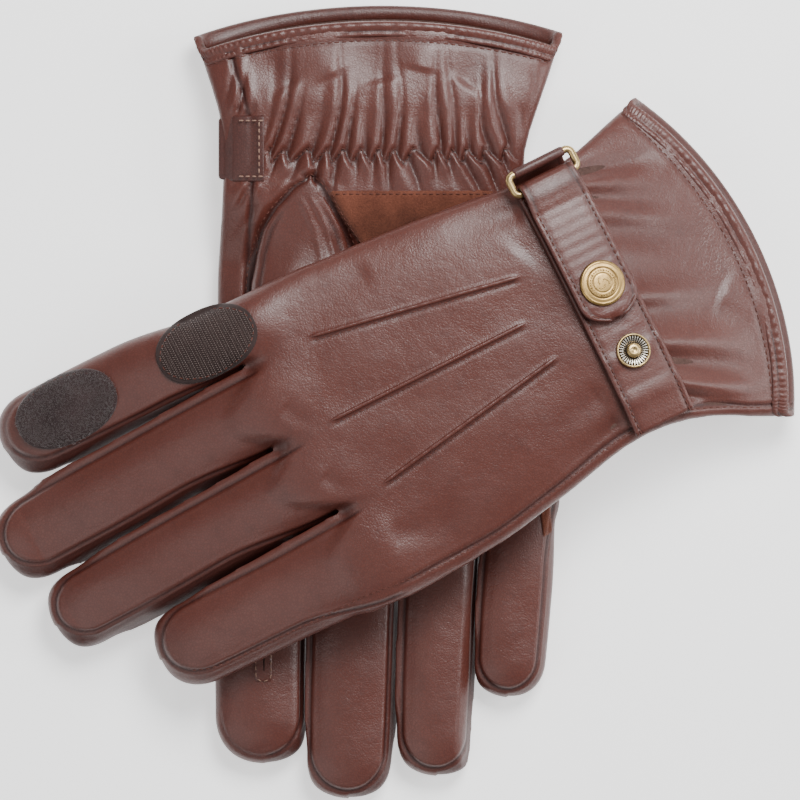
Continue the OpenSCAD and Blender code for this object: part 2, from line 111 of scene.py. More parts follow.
def blend_max(a, b, reach):
    return -blend_min(-a, -b, reach)


def edge(g, u, k):
    """Edge of the plan at u, on the index side (k 1) or the little finger side (k 2)."""
    t = EDGES[g]
    reach = np.array([-7.0, 0.0, 0.0, 7.0])
    return sum(np.interp(u + r, t[:, 0], t[:, k]) for r in reach) / 4


def middle(g, u):
    """Height of the glove's middle surface over the ground."""
    if g == LEFT:
        fall = blend_min(np.clip((200 - u) / 95, 0, None), 1.0, 0.12)
        fall = fall + 0.035 * (ease((200 - u) / 30) - ease((118 - u) / 26))
        lie = LEFT_TIP_LIFT + (LEFT_LIFT - LEFT_TIP_LIFT) * fall
        k = ease((4 - u) / 62)
        return lie * (1 - k) + (LEFT_TIP_LIFT + 1.5) * k
    base = REST_HALF + (10.2 - REST_HALF) * ease((2 - u) / 40)
    k = ease((u + 48) / 30) * ease((34 - u) / 26)
    return base * (1 - k) + 15.6 * k


def half(u):
    h = PALM_HALF + (WRIST_HALF - PALM_HALF) * ease((45 - u) / 45)
    k = ease((-14 - u) / 34)
    return h * (1 - k) + MOUTH_HALF * k


# The wrist point of each glove's plan, found from its snap cap, which sits at
# (STRAP_U, CAP_V) over the middle surface of the wrist.
def wrist_point(g):
    low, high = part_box(NAMES[g] + "_snap_studs")
    c, s = math.cos(TURN[g]), math.sin(TURN[g])
    u, v = STRAP_U[g], (CAP_V + STUD_V) / 2
    at = ((low[0] + high[0]) / 2 / MM, (low[1] + high[1]) / 2 / MM)
    lean = LEAN_SHIFT if g == LEFT else 0.0
    u += lean
    return at[0] - (c * u - s * v), at[1] - (s * u + c * v)


def slope(g):
    u = STRAP_U[g]
    return math.atan((middle(g, u + 1) - middle(g, u - 1)) / 2)


LEAN_SHIFT = -math.sin(slope(LEFT)) * 9.0
WRIST = (wrist_point(LEFT), wrist_point(RIGHT))


def set_down(g, p):
    """Points (u, v, w) of glove g, in metres in the frame."""
    p = np.asarray(p, float)
    c, s = math.cos(TURN[g]), math.sin(TURN[g])
    x = WRIST[g][0] + c * p[:, 0] - s * p[:, 1]
    y = WRIST[g][1] + s * p[:, 0] + c * p[:, 1]
    z = middle(g, p[:, 0]) + UP[g] * p[:, 2]
    return np.stack([x, y, z], 1) * MM


# ------------------------------------------------------------------ solid shapes

def section(x, y, a, b, power):
    """Signed distance, nearly, from a squared ellipse of half width a and half height b."""
    px, py = np.abs(x) / a, np.abs(y) / b
    q = np.maximum((px ** power + py ** power) ** (1 / power), 1e-4)
    grad = np.sqrt((px ** (power - 1) / a) ** 2 + (py ** (power - 1) / b) ** 2) / q ** (power - 1)
    return (q - 1) / np.maximum(grad, 1e-3)


def hand_shape(g, u, v, w, inset=0.0):
    """Hand and cuff, without the fingers."""
    lo, hi = edge(g, u, 1), edge(g, u, 2)
    mid_v, wide = (lo + hi) / 2, (hi - lo) / 2 - inset
    f = section(v - mid_v, w, wide, half(u) - inset, HAND_POWER)
    if inset == 0:
        f = blend_max(f, mouth_line(g, v, w) - u, 1.2)
    c = CROTCH[g]
    nearest = np.min([np.abs(v - x) for x in c[1:4, 1]], axis=0)
    end = np.interp(v, c[:, 1], c[:, 0]) + 1.0 + 13 * ease(nearest / 12)
    return blend_max(f, u - end, 6.0)


def mouth_line(g, v, w):
    """Where the cuff ends: bowed, and a little longer on the side that lies below."""
    t = v / 61.0
    u = MOUTH_U[g][1] + (MOUTH_U[g][0] - MOUTH_U[g][1]) * t * t
    return u + (5.0 if g == RIGHT else 2.0) * ease((w * UP[g] + 1) / 4)


def finger_axis(g, k):
    a, b = CROTCH[g][k], CROTCH[g][k + 1]
    root = (a + b) / 2
    tip = TIPS[g][k]
    way = tip[:2] - root
    length = np.linalg.norm(way)
    return root, way / length, length, (b[1] - a[1]) / 2 - 0.45, tip[2]


def finger_plan(g, k, u, v):
    """Along and across finger k, and its half width there."""
    root, way, length, wide_root, wide_tip = finger_axis(g, k)
    along = (u - root[0]) * way[0] + (v - root[1]) * way[1]
    side = -(u - root[0]) * way[1] + (v - root[1]) * way[0]
    s = along / length
    wide = wide_root + (wide_tip - wide_root) * ease(s * 2.0 + 0.05)
    wide = wide * (1 - 0.04 * ease((s - 0.6) / 0.4)) * (1 - 0.1 * ease(-s * 2.5))
    return along, side, wide, length


def finger_shape(g, k, u, v, w):
    along, side, wide, length = finger_plan(g, k, u, v)
    s = along / length
    high = FINGER_HALF * (1 - 0.05 * ease((s - 0.5) / 0.4)) * (1 - 0.9 * ease(-along / 42))
    reach = TIPS[g][k][2] * 1.02
    cap = np.clip((along - (length - reach)) / reach, 0, None)
    px, py = np.abs(side) / wide, np.abs(w) / high
    power = 2.25
    q = np.maximum((px ** power + py ** power + cap ** power) ** (1 / power), 1e-4)
    grad = np.sqrt((px ** 1.25 / wide) ** 2 + (py ** 1.25 / high) ** 2
                   + (cap ** 1.25 / reach) ** 2) / q ** 1.25
    f = (q - 1) / np.maximum(grad, 1e-3)
    f = blend_max(f, -30 - along, 6.0)
    # Gaps keep the fingers apart; side strips fill the room up to them.
    strips = None
    for face, near in ((1, k < 3), (-1, k > 0)):
        if not near:
            continue
        n = k if face > 0 else k - 1
        past = np.minimum(face * (v - gap_v(g, n, u, w)) + GAP / 2, u - CROTCH[g][n + 1, 0] + 4)
        f = blend_max(f, past, 1.6)
        fill = 1.2 * np.clip(face * (gap_v(g, n, u, w) - v) + face * side, wide * 0.7, wide + 6)
        end = ease((along - length + 30) / 16)
        fill = fill * (1 - end) + wide * 0.93 * end
        px = np.maximum(face * side, 0) / fill
        py = np.abs(w) / np.minimum(high, 5.0)
        q = np.maximum((px ** 4 + py ** 3 + (cap * 1.1) ** 3) ** (1 / 3), 1e-4)
        strip = np.maximum((q - 1) * np.minimum(high, 5.0), np.maximum(past, -face * side))
        strips = strip if strips is None else np.minimum(strips, strip)
    return blend_min(f, np.maximum(strips, -30 - along), 0.8)


def pressed(g, u, v):
    """How far out of the middle the right glove's back may reach before the ground."""
    root, way, _, _, _ = finger_axis(g, 0)
    side = -(u - root[0]) * way[1] + (v - root[1]) * way[0]
    index = ease((u - 96) / 12) * ease((18 - np.abs(side)) / 3)
    return middle(g, u) - 0.9 * (1 - ease((u - 96) / 12)) - 1.5 * index - 0.05


def gap_v(g, k, u, w=0.0):
    """Where fingers k and k + 1 lie against each other, one a little over the other."""
    a, b, c = TIPS[g][k], TIPS[g][k + 1], CROTCH[g][k + 1]
    end = (a[1] + a[2] + b[1] - b[2]) / 2
    return c[1] + (end - c[1]) * (u - c[0]) / (min(a[0], b[0]) - 6 - c[0]) - 0.45 * UP[g] * w


def glove_field(g, u, v, w):
    fingers = None
    for k in range(4):
        f = finger_shape(g, k, u, v, w)
        fingers = f if fingers is None else np.minimum(fingers, f)
    f = blend_min(hand_shape(g, u, v, w), fingers, 3.6)
    if g == RIGHT:
        f = blend_max(f, w - pressed(g, u, v), 2.5)
    hollow = np.maximum(hand_shape(g, u, v, w, 0.01) + 1.7, u - 30)
    return np.maximum(f, -hollow)


# Outline of each thumb where it lies on the palm: (u, index side, little finger side).
THUMBS = (
    np.array([(6, -36, -34), (10, -43, -28), (20, -47.5, -19), (34, -47, -13), (50, -41, -8),
              (84, -28, -1.5)]),
    np.array([(5.2, -24.6, -23.4), (7.6, -28.6, -21.0), (14.9, -35.3, -16.8),
              (21.8, -39.4, -13.2), (30, -41.9, -10.4), (39.6, -43.4, -9.6), (60, -44, -14),
              (84, -43.6, -18.4)]))
THUMB_RISE = 9.0
GAP = 1.55              # between neighbouring fingers


def thumb_edges(g, u):
    t = THUMBS[g]
    return np.interp(u, t[:, 0], t[:, 1]), np.interp(u, t[:, 0], t[:, 2])


def plain_w(g, u, v):
    """Half thickness of the hand at a plan point."""
    lo, hi = edge(g, u, 1), edge(g, u, 2)
    t = np.clip(np.abs(2 * (v - lo) / (hi - lo) - 1), 0, 0.999)
    return half(u) * (1 - t ** HAND_POWER) ** (1 / HAND_POWER)


def thumb_field(g, u, v, w):
    lo, hi = thumb_edges(g, u)
    wide = np.maximum((hi - lo) / 2, 0.4)
    rise = 1.0 + (THUMB_RISE - 1.0) * ease((u - 8) / 34)
    base = plain_w(g, u, np.clip(v, lo, hi))
    deck, high = -base - (rise - 2.5) / 2, (rise + 2.5) / 2
    end = THUMBS[g][-1, 0]
    cap = np.maximum(np.clip((u - end + 14) / 14, 0, None),
                     np.clip((THUMBS[g][0, 0] + 1 - u) / 3, 0, None))
    px, py = np.abs(v - (lo + hi) / 2) / wide, np.abs(w - deck) / high
    q = np.maximum((px ** 2.3 + py ** 2.3 + cap ** 2.3) ** (1 / 2.3), 1e-4)
    grad = np.sqrt((px ** 1.3 / wide) ** 2 + (py ** 1.3 / high) ** 2
                   + (cap ** 1.3 / 14) ** 2) / q ** 1.3
    return (q - 1) / np.maximum(grad, 1e-3)


def skin(field, low, high, step):
    """A smooth surface where field is zero: one point in each cell that it crosses,
    and a four-sided face round each grid edge that it crosses."""
    axes = [np.arange(a, b + step, step) for a, b in zip(low, high)]
    u, v, w = np.meshgrid(*axes, indexing="ij", sparse=True)
    f = field(u, v, w).astype(np.float32)
    inside = f < 0
    n = [len(a) for a in axes]
    corner = [(i, j, k) for i in (0, 1) for j in (0, 1) for k in (0, 1)]

    def part(a, c):
        return a[c[0]:n[0] - 1 + c[0], c[1]:n[1] - 1 + c[1], c[2]:n[2] - 1 + c[2]]

    count = sum(part(inside, c).astype(np.int8) for c in corner)
    cells = np.argwhere((count > 0) & (count < 8))
    values = np.stack([part(f, c)[tuple(cells.T)] for c in corner], 1)
    total = np.zeros((len(cells), 3))
    hits = np.zeros(len(cells))
    for a, ca in enumerate(corner):
        for b, cb in enumerate(corner):
            if b <= a or sum(abs(p - q) for p, q in zip(ca, cb)) != 1:
                continue
            fa, fb = values[:, a], values[:, b]
            cross = (fa < 0) != (fb < 0)
            t = np.where(cross, fa / np.where(fa == fb, 1, fa - fb), 0)
            point = np.array(ca) + t[:, None] * (np.array(cb) - np.array(ca))
            total += point * cross[:, None]
            hits += cross
    verts = (cells + total / hits[:, None]) * step + np.array(low)
    number = np.full([a - 1 for a in n], -1, np.int32)
    number[tuple(cells.T)] = np.arange(len(cells))
    faces = []
    for axis in range(3):
        b, c = (axis + 1) % 3, (axis + 2) % 3
        first = [slice(1, n[k] - 1) for k in range(3)]
        second = list(first)
        first[axis] = slice(0, n[axis] - 1)
        second[axis] = slice(1, n[axis])
        s0, s1 = inside[tuple(first)], inside[tuple(second)]
        spots = np.argwhere(s0 != s1) + np.array([0 if k == axis else 1 for k in range(3)])
        starts = inside[tuple(spots.T)]
        ring = []
        for db, dc in ((0, 0), (1, 0), (1, 1), (0, 1)):
            cell = spots.copy()
            cell[:, b] -= db
            cell[:, c] -= dc
            ring.append(number[tuple(cell.T)])
        quad = np.stack(ring, 1)
        quad[~starts] = quad[~starts][:, ::-1]
        faces.append(quad)
    return verts, np.concatenate(faces)


def relax(verts, faces, rounds=2):
    a = np.concatenate([faces, faces])
    b = np.concatenate([np.roll(faces, 1, 1), np.roll(faces, -1, 1)])
    a, b = a.ravel(), b.ravel()
    count = np.bincount(a, minlength=len(verts))[:, None]
    for _ in range(rounds):
        mean = np.stack([np.bincount(a, verts[b, k], len(verts)) for k in range(3)], 1) / count
        verts = verts * 0.5 + mean * 0.5
    return verts


def normals(verts, faces):
    p = verts[faces]
    cross = np.cross(p[:, 2] - p[:, 0], p[:, 3] - p[:, 1])
    out = np.stack([sum(np.bincount(faces[:, i], cross[:, k], len(verts)) for i in range(4))
                    for k in range(3)], 1)
    return out / np.maximum(np.linalg.norm(out, axis=1), 1e-12)[:, None]


# ------------------------------------------------------------------ leather detail

GATHER_U = -2.5        # the row of zigzag stitches over the elastic
GATHER_PITCH = 6.1
ZIGZAG = 2.5

# Soft folds that lie across the leather: side (1 back, -1 palm), start, end, width, depth.
FOLDS = (
    ((1, (-8, -47), (-44, -38), 3.4, -1.9), (1, (-8, -40), (-40, -22), 4.0, -1.7),
     (1, (-8, -43), (-42, -30), 3.0, 1.2), (1, (-8, -28), (-44, -6), 5.5, -1.5),
     (1, (-8, -34), (-44, -14), 4.0, 1.2), (1, (-8, -12), (-46, 8), 7.0, -1.2),
     (1, (-8, 4), (-46, 18), 5.5, -1.5), (1, (-8, -3), (-40, 12), 4.5, 1.1),
     (1, (-8, 20), (-40, 40), 4.2, -1.9), (1, (-8, 14), (-42, 30), 4.2, 1.4),
     (1, (-8, 27), (-38, 47), 3.0, 1.6), (1, (-8, 33), (-30, 50), 2.6, -1.8),
     (1, (-38, 10), (-54, 30), 6.0, 1.0), (1, (7, -42), (34, -48), 5.0, -1.1),
     (1, (8, 34), (34, 42), 4.0, -1.3), (1, (9, 24), (40, 30), 6.0, -0.8),
     (1, (12, -30), (44, -18), 8.0, 0.7), (1, (60, -48), (100, -44), 5.0, -0.6),
     (1, (96, 34), (64, 42), 5.0, -0.6), (1, (108, -20), (99, -6), 3.5, -0.5),
     (1, (106, 6), (98, 20), 3.5, -0.5)),
    ((-1, (28, 18), (60, 30), 6.0, -1.1), (-1, (34, 36), (86, 44), 5.0, -1.0),
     (-1, (-24, -30), (-44, -44), 7.0, -1.2), (-1, (-26, 0), (-46, -6), 8.0, -1.0),
     (-1, (-25, 26), (-44, 40), 7.0, -1.2), (-1, (-30, 12), (-48, 16), 6.0, 0.9),
     (-1, (-28, -16), (-46, -24), 6.0, 0.9), (1, (-14, 20), (-36, 34), 5.0, -1.0),
     (1, (-16, -30), (-38, -24), 6.0, -0.9)))


def distance_to_line(u, v, a, b):
    """Distance in plan from the stretch a to b, and the share of the way along it."""
    a, b = np.array(a, float), np.array(b, float)
    d = b - a
    t = np.clip(((u - a[0]) * d[0] + (v - a[1]) * d[1]) / (d @ d), 0, 1)
    return np.hypot(u - a[0] - t * d[0], v - a[1] - t * d[1]), t


def bump(d, width):
    return np.exp(-(d / width) ** 2)


def panel_edges(face, s):
    """How far in the seams of a finger's panel lie: on the index side and the other side."""
    return 1.7, 0.7 + (4.3 if face > 0 else 2.6) * ease(s * 2.4)


def finger_seam(g, k, u, v, face):
    """Distance in plan from the seam round finger k's panel, and how strongly it shows."""
    along, side, wide, length = finger_plan(g, k, u, v)
    reach = TIPS[g][k][2] * 1.02
    near, far = panel_edges(face, along / length)
    half_w = wide - (near + far) / 2
    cap = np.clip((along - (length - reach)) / (reach - 2.4), 0, None)
    q = np.hypot((side - (near - far) / 2) / np.maximum(half_w, 1), cap)
    d = (q - 1) * half_w
    shows = ease((along + 4) / 5)
    if k == 0:
        shows = shows * np.maximum(ease((side + 1) / 4), 0.35 * ease((along - length + 20) / 8))
    return d, side, shows


def point_lines():
    """The three raised points on a back: start near the wrist, end near the knuckles."""
    return (((17, -22.4), (90.5, -36)), ((22, -8), (96.5, -7.8)), ((18, 6.5), (90, 18.5)))


def gather(g, u, v, w):
    """Puckers over the wrist elastic on the palm side, and painted shade in their valleys."""
    lo, hi = edge(g, u, 1), edge(g, u, 2)
    lo0, hi0 = edge(g, GATHER_U, 1), edge(g, GATHER_U, 2)
    rise = GATHER_U - u
    share = (v - (lo + hi) / 2) / (hi - lo)
    across = share * (hi0 - lo0) * (1 + 0.012 * rise) + 0.9 * np.sin(v * 0.19 + 1.3)
    across = across + 0.7 * np.sin(u * 0.16 + v * 0.31)
    phase = across / GATHER_PITCH * np.pi
    zig = GATHER_U + ZIGZAG * (4 * np.abs((across / GATHER_PITCH + 0.25) % 1 - 0.5) - 1)
    above = u < zig
    pleat = np.where(above, np.abs(np.cos(phase)), np.abs(np.sin(phase))) ** 0.75
    far = np.abs(u - zig)
    long = np.where(above, 17 + 7 * np.sin(v * 0.37 + 0.6), 10 + 5 * np.sin(v * 0.23))
    strength = np.exp(-(far / long) ** 2) * ease((np.abs(hi - lo) / 2 - np.abs(share * (hi - lo)) - 1) / 6)
    drop = -0.9 * bump(far, 1.0) * strength
    lift = (pleat - 0.6) * 2.7 * strength * (0.35 + 0.65 * ease(far / 2.2))
    flat = ease((13 - np.abs(u - STRAP_U[g])) / 2) * ease((15.5 - (v - lo)) / 2)
    palm = ease((-w - 1) / 3) * (1 - 0.92 * flat)
    # Painted shade in the valleys between the puckers and along the zigzag.
    dark = strength * ((1 - pleat) ** 2 * 0.9 + 0.8 * bump(far, 0.8))
    return (lift + drop) * palm, dark * palm


def detail(g, u, v, w):
    """How far the leather stands out of its plain shape, and the painted shade in its creases, seams and
    side strips.
    """
    out = np.zeros_like(u)
    # dark gathers painted shade: in seam and stitch grooves, fold valleys, finger crotches, round the
    # thumb, by the hem, in the gathers and over the side strips, which fall away from the light.
    dark = np.zeros_like(u)
    back = ease((w + 0.8) / 1.6)
    for side in (1, -1):
        here = back if side > 0 else 1 - back
        for k in range(4):
            d, across, shows = finger_seam(g, k, u, v, side)
            here_k = here * shows
            if k < 3:
                here_k = here_k * (v < gap_v(g, k, u, w))
            if k > 0:
                here_k = here_k * (v > gap_v(g, k - 1, u, w))
            out += here_k * (-0.5 * bump(d, 0.6) + 0.2 * bump(d + 1.3, 0.8)
                             + 0.12 * bump(d - 1.2, 0.7) - 0.45 * ease(d / 2) * (across > 0))
            dark += here_k * (0.85 * bump(d, 0.5) + (0.5 if k < 3 else 0.12)
                              * ease((d - 0.2) / 1.5) * (across > 0))
    little = edge(g, u, 2) - 4.0 - v
    fade = ease((104 - u) / 12)
    out += back * fade * (-0.5 * bump(little, 0.7) + 0.14 * bump(np.abs(little) - 1.6, 0.9))
    dark += back * fade * 0.8 * bump(little, 0.6)
    index = v - edge(g, u, 1) - 9.5
    fade = ease((70 - u) / 30)
    out += (1 - back) * fade * (-0.8 * bump(index, 0.8) + 0.4 * bump(index - 3.0, 2.0))
    dark += (1 - back) * fade * 0.9 * bump(index, 0.7)
    for a, b in point_lines():
        d, t = distance_to_line(u, v, a, b)
        fade = ease(t / 0.06) * ease((1 - t) / 0.06)
        across = (v - a[1]) - (b[1] - a[1]) * (u - a[0]) / (b[0] - a[0])
        out += back * fade * (0.55 * bump(across + 0.5, 0.75) - 0.45 * bump(across - 1.0, 0.6))
        dark += back * fade * 0.7 * bump(across - 1.0, 0.55)
    for side, a, b, width, depth in FOLDS[g]:
        d, t = distance_to_line(u, v, a, b)
        here = back if side > 0 else 1 - back
        amount = depth * bump(d, width * (0.75 + 0.5 * t)) * ease(t / 0.14) * np.cos(np.pi / 2 * t)
        out += here * amount
        dark += here * np.clip(-amount, 0, None) * 0.12
    for c in CROTCH[g][1:4]:
        d, t = distance_to_line(u, v, c + np.array([2, 0]), c - np.array([12, 0]))
        out += -1.1 * bump(d, 2.2) * (1 - t) ** 1.5
        dark += 0.35 * bump(d, 1.6) * (1 - t) ** 1.5
    lo, hi = thumb_edges(g, u)
    t = THUMBS[g]
    outside = np.maximum(np.maximum(lo - v, v - hi) * 0.8, t[0, 0] - u)
    root = (1 - back) * ease((60 - u) / 20)
    out += root * (-1.1 * bump(outside - 0.6, 1.1) + 0.5 * bump(outside - 3.6, 1.8))
    dark += root * 0.9 * bump(outside - 0.5, 0.9)
    rim = u - mouth_line(g, v, w)
    out += -0.3 * bump(rim - 5.4, 0.7) + 0.15 * bump(rim - 2.4, 1.6)
    dark += 0.4 * bump(rim - 5.4, 0.6)
    lift, shade = gather(g, u, v, w)
    out += lift
    dark += shade
    out += 0.22 * np.sin(u * 0.11 + 1.7 * np.sin(v * 0.09)) * np.sin(v * 0.13 + 0.8 * np.sin(u * 0.07))
    return out, np.clip(dark, 0, 1)


# ------------------------------------------------------------------ pieces

def new_mesh(name, verts, faces, smooth=True):
    mesh = bpy.data.meshes.new(name)
    if isinstance(faces, np.ndarray):
        mesh.vertices.add(len(verts))
        mesh.vertices.foreach_set("co", np.asarray(verts, np.float32).ravel())
        sides = faces.shape[1]
        mesh.loops.add(faces.size)
        mesh.loops.foreach_set("vertex_index", faces.astype(np.int32).ravel())
        mesh.polygons.add(len(faces))
        mesh.polygons.foreach_set("loop_start", np.arange(0, faces.size, sides, dtype=np.int32))
        mesh.update(calc_edges=True)
    else:
        mesh.from_pydata([tuple(p) for p in verts], [], faces)
    mesh.validate()
    mesh.polygons.foreach_set("use_smooth", np.full(len(mesh.polygons), smooth))
    mesh.update()
    return mesh


def piece(name, mesh, material, body=None, stands_for=()):
    obj = bpy.data.objects.new(name, mesh)
    bpy.context.scene.collection.objects.link(obj)
    mesh.materials.append(material)
    if body:
        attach(obj, body)
    if stands_for:
        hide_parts(*stands_for)
    return obj


def pick(verts, faces, keep, extra):
    """The part of a mesh whose faces are kept, with its point data."""
    f = faces[keep]
    used = np.unique(f)
    number = np.full(len(verts), -1, np.int64)
    number[used] = np.arange(len(used))
    return verts[used], number[f], [e[used] for e in extra]


def point_data(mesh, name, values):
    mesh.attributes.new(name, "FLOAT", "POINT").data.foreach_set(
        "value", np.asarray(values, np.float32))


class Bag:
    """Small shapes gathered into one mesh."""

    def __init__(self):
        self.verts, self.faces, self.count = [], [], 0

    def add(self, verts, faces):
        verts = np.asarray(verts, float)
        self.verts.append(verts)
        self.faces += [tuple(i + self.count for i in f) for f in faces]
        self.count += len(verts)

    def mesh(self, name, smooth=True):
        return new_mesh(name, np.concatenate(self.verts), self.faces, smooth)


class Surface:
    """The skin of a glove, asked for its height and normal at a plan point."""

    def __init__(self, verts, faces):
        self.tree = BVHTree.FromPolygons(verts.tolist(), faces.tolist())

    def at(self, u, v, side):
        hit, normal, _, _ = self.tree.ray_cast(Vector((u, v, 60 * side)), Vector((0, 0, -side)))
        if hit is None:
            return None, None
        normal = np.array(normal)
        return hit.z, normal * (1 if normal[2] * side > 0 else -1)

    def height(self, u, v, side, fallback=0.0):
        w, _ = self.at(u, v, side)
        return fallback if w is None else w


class Lifted(Surface):
    """The same surface, a little further out."""

    def __init__(self, surface, lift):
        self.surface, self.lift = surface, lift

    def at(self, u, v, side):
        w, n = self.surface.at(u, v, side)
        return (None if w is None else w + side * self.lift), n


def walk(path, pitch):
    """Points spaced by pitch along a plan path, each with its direction."""
    path = np.asarray(path, float)
    steps = np.linalg.norm(np.diff(path, axis=0), axis=1)
    reach = np.concatenate([[0], np.cumsum(steps)])
    at = np.arange(pitch / 2, reach[-1], pitch)
    points = np.stack([np.interp(at, reach, path[:, k]) for k in range(path.shape[1])], 1)
    ahead = np.stack([np.interp(at + 0.3, reach, path[:, k]) for k in range(path.shape[1])], 1)
    behind = np.stack([np.interp(at - 0.3, reach, path[:, k]) for k in range(path.shape[1])], 1)
    way = ahead - behind
    return points, way / np.maximum(np.linalg.norm(way, axis=1), 1e-9)[:, None]


def curve(points, count=60):
    """A smooth path through given points."""
    p = np.asarray(points, float)
    p = np.concatenate([[2 * p[0] - p[1]], p, [2 * p[-1] - p[-2]]])
    out = []
    for i in range(1, len(p) - 2):
        n = max(2, count // (len(p) - 3))
        for t in np.linspace(0, 1, n, endpoint=False):
            a, b, c, d = p[i - 1:i + 3]
            out.append(0.5 * (2 * b + (c - a) * t + (2 * a - 5 * b + 4 * c - d) * t * t
                              + (3 * b - a - 3 * c + d) * t ** 3))
    out.append(p[-2])
    return np.array(out)


def capsule(a, b, normal, radius):
    """One stitch from a to b, its middle standing out along the normal."""
    a, b, n = (np.asarray(x, float) for x in (a, b, normal))
    d = b - a
    d = d / max(np.linalg.norm(d), 1e-9)
    s = np.cross(d, n)
    s = s / max(np.linalg.norm(s), 1e-9)
    n = np.cross(s, d)
    verts, sides = [], 6
    for t, r, lift in ((0.0, 0.45, -0.55), (0.2, 0.95, 0.25), (0.8, 0.95, 0.25), (1.0, 0.45, -0.55)):
        c = a + (b - a) * t + n * radius * lift
        for k in range(sides):
            x = 2 * math.pi * k / sides
            verts.append(c + radius * r * (math.cos(x) * s + math.sin(x) * n))
    faces = [tuple(range(sides - 1, -1, -1)), tuple(range(3 * sides, 4 * sides))]
    for i in range(3):
        for k in range(sides):
            j = (k + 1) % sides
            faces.append((i * sides + k, i * sides + j, (i + 1) * sides + j, (i + 1) * sides + k))
    return verts, faces


def stitch_row(bag, g, surface, path, side, pitch=2.2, length=1.4, radius=0.2):
    """Stitches along a plan path on the skin."""
    for p, way in zip(*walk(path, pitch)):
        w, n = surface.at(p[0], p[1], side)
        if w is None or abs(n[2]) < 0.2:
            continue
        ends = []
        for sign in (-0.5, 0.5):
            q = p + way * length * sign
            h, _ = surface.at(q[0], q[1], side)
            h = w if h is None or abs(h - w) > 1.2 else h
            ends.append((q[0], q[1], h))
        verts, faces = capsule(ends[0], ends[1], n, radius)
        verts = set_down(g, np.array(verts))
        bag.add(verts, faces if side * UP[g] * side > 0 else [f[::-1] for f in faces])


def grid_faces(rows, cols, closed=False):
    faces = []
    for r in range(rows - 1):
        for c in range(cols if closed else cols - 1):
            d = (c + 1) % cols
            faces.append((r * cols + c, r * cols + d, (r + 1) * cols + d, (r + 1) * cols + c))
    return faces


def outward(verts, faces):
    """Faces of a closed shape, turned so that they look out."""
    verts = np.asarray(verts, float)
    total = 0.0
    for f in faces:
        a = verts[f[0]]
        for i in range(1, len(f) - 1):
            total += np.dot(a, np.cross(verts[f[i]], verts[f[i + 1]]))
    return faces if total > 0 else [tuple(f[::-1]) for f in faces]


def loft(rings, cap=True, loop=False):
    """A closed skin through rings with the same number of points."""
    n = len(rings[0])
    verts = np.concatenate([np.asarray(r, float) for r in rings])
    faces = grid_faces(len(rings), n, closed=True)
    if loop:
        last = (len(rings) - 1) * n
        faces += [(last + c, last + (c + 1) % n, (c + 1) % n, c) for c in range(n)]
    elif cap:
        last = (len(rings) - 1) * n
        faces += [tuple(range(n - 1, -1, -1)), tuple(range(last, last + n))]
    return verts, outward(verts, faces)


def lathe(profile, sides=48):
    """Rings of a turned shape: profile is (radius, height), from the axis and back to it."""
    rings = []
    for r, h in profile:
        a = np.linspace(0, 2 * math.pi, sides, endpoint=False)
        rings.append(np.stack([max(r, 0.01) * np.cos(a), max(r, 0.01) * np.sin(a),
                               np.full(sides, h)], 1))
    return loft(rings)


# Places on the wrist, where strap and buckle lie: (x, v, h) with x along the glove from
# the strap's middle and h square to the tilted back of the wrist.
def wrist_down(g, p):
    p = np.asarray(p, float)
    b = -slope(g)
    z = UP[g] * p[:, 2]
    u = STRAP_U[g] + p[:, 0] * math.cos(b) + z * math.sin(b)
    c, s = math.cos(TURN[g]), math.sin(TURN[g])
    return np.stack([WRIST[g][0] + c * u - s * p[:, 1], WRIST[g][1] + s * u + c * p[:, 1],
                     middle(g, STRAP_U[g]) - p[:, 0] * math.sin(b) + z * math.cos(b)], 1) * MM


def fix_turn(g, faces):
    return faces if UP[g] > 0 else [tuple(f[::-1]) for f in faces]


OUTER_BAR_V = (-54.0, -51.5)
RING_L, RING_W, BAR = 26.0, 9.5, 2.6
PLAY, STRAP_LIFT = 0.6, 0.3


def hinge_v(g):
    return OUTER_BAR_V[g] + RING_W - BAR


def strap_z(g, v):
    lo, hi = edge(g, STRAP_U[g], 1), edge(g, STRAP_U[g], 2)
    t = np.abs((v - (lo + hi) / 2) / ((hi - lo) / 2 + 3))
    crown = np.sqrt(np.maximum(0, 1 - t ** 2.6))
    return half(STRAP_U[g]) * np.maximum(0.5, crown)


def hinge_h(g):
    return float(strap_z(g, hinge_v(g))) + STRAP_LIFT + STRAP_T + PLAY + BAR / 2


def tab_lift(g, v):
    return STRAP_LIFT + STRAP_T + 1.9 + (BAR + 2 * PLAY - 1.9) * ease((hinge_v(g) + 9 - v) / 7)


def strap_section(wide, thick):
    """Half-rounded section of a strap with a stitched groove near each edge: (x, h)."""
    x = wide / 2
    top = [(-x, 0.5), (-x + 0.25, 0.83), (-x + 0.8, 1.0), (-x + 1.5, 0.93), (-x + 2.0, 0.86),
           (-x + 2.6, 0.97), (-x + 4.0, 1.04), (-x * 0.3, 1.08), (x * 0.3, 1.08), (x - 4.0, 1.04),
           (x - 2.6, 0.97), (x - 2.0, 0.86), (x - 1.5, 0.93), (x - 0.8, 1.0), (x - 0.25, 0.83),
           (x, 0.5)]
    bottom = [(x - 0.2, 0.16), (x - 0.9, 0.0), (x * 0.4, 0.0), (-x * 0.4, 0.0), (-x + 0.9, 0.0),
              (-x + 0.2, 0.16)]
    return np.array([(a, b * thick) for a, b in top + bottom])


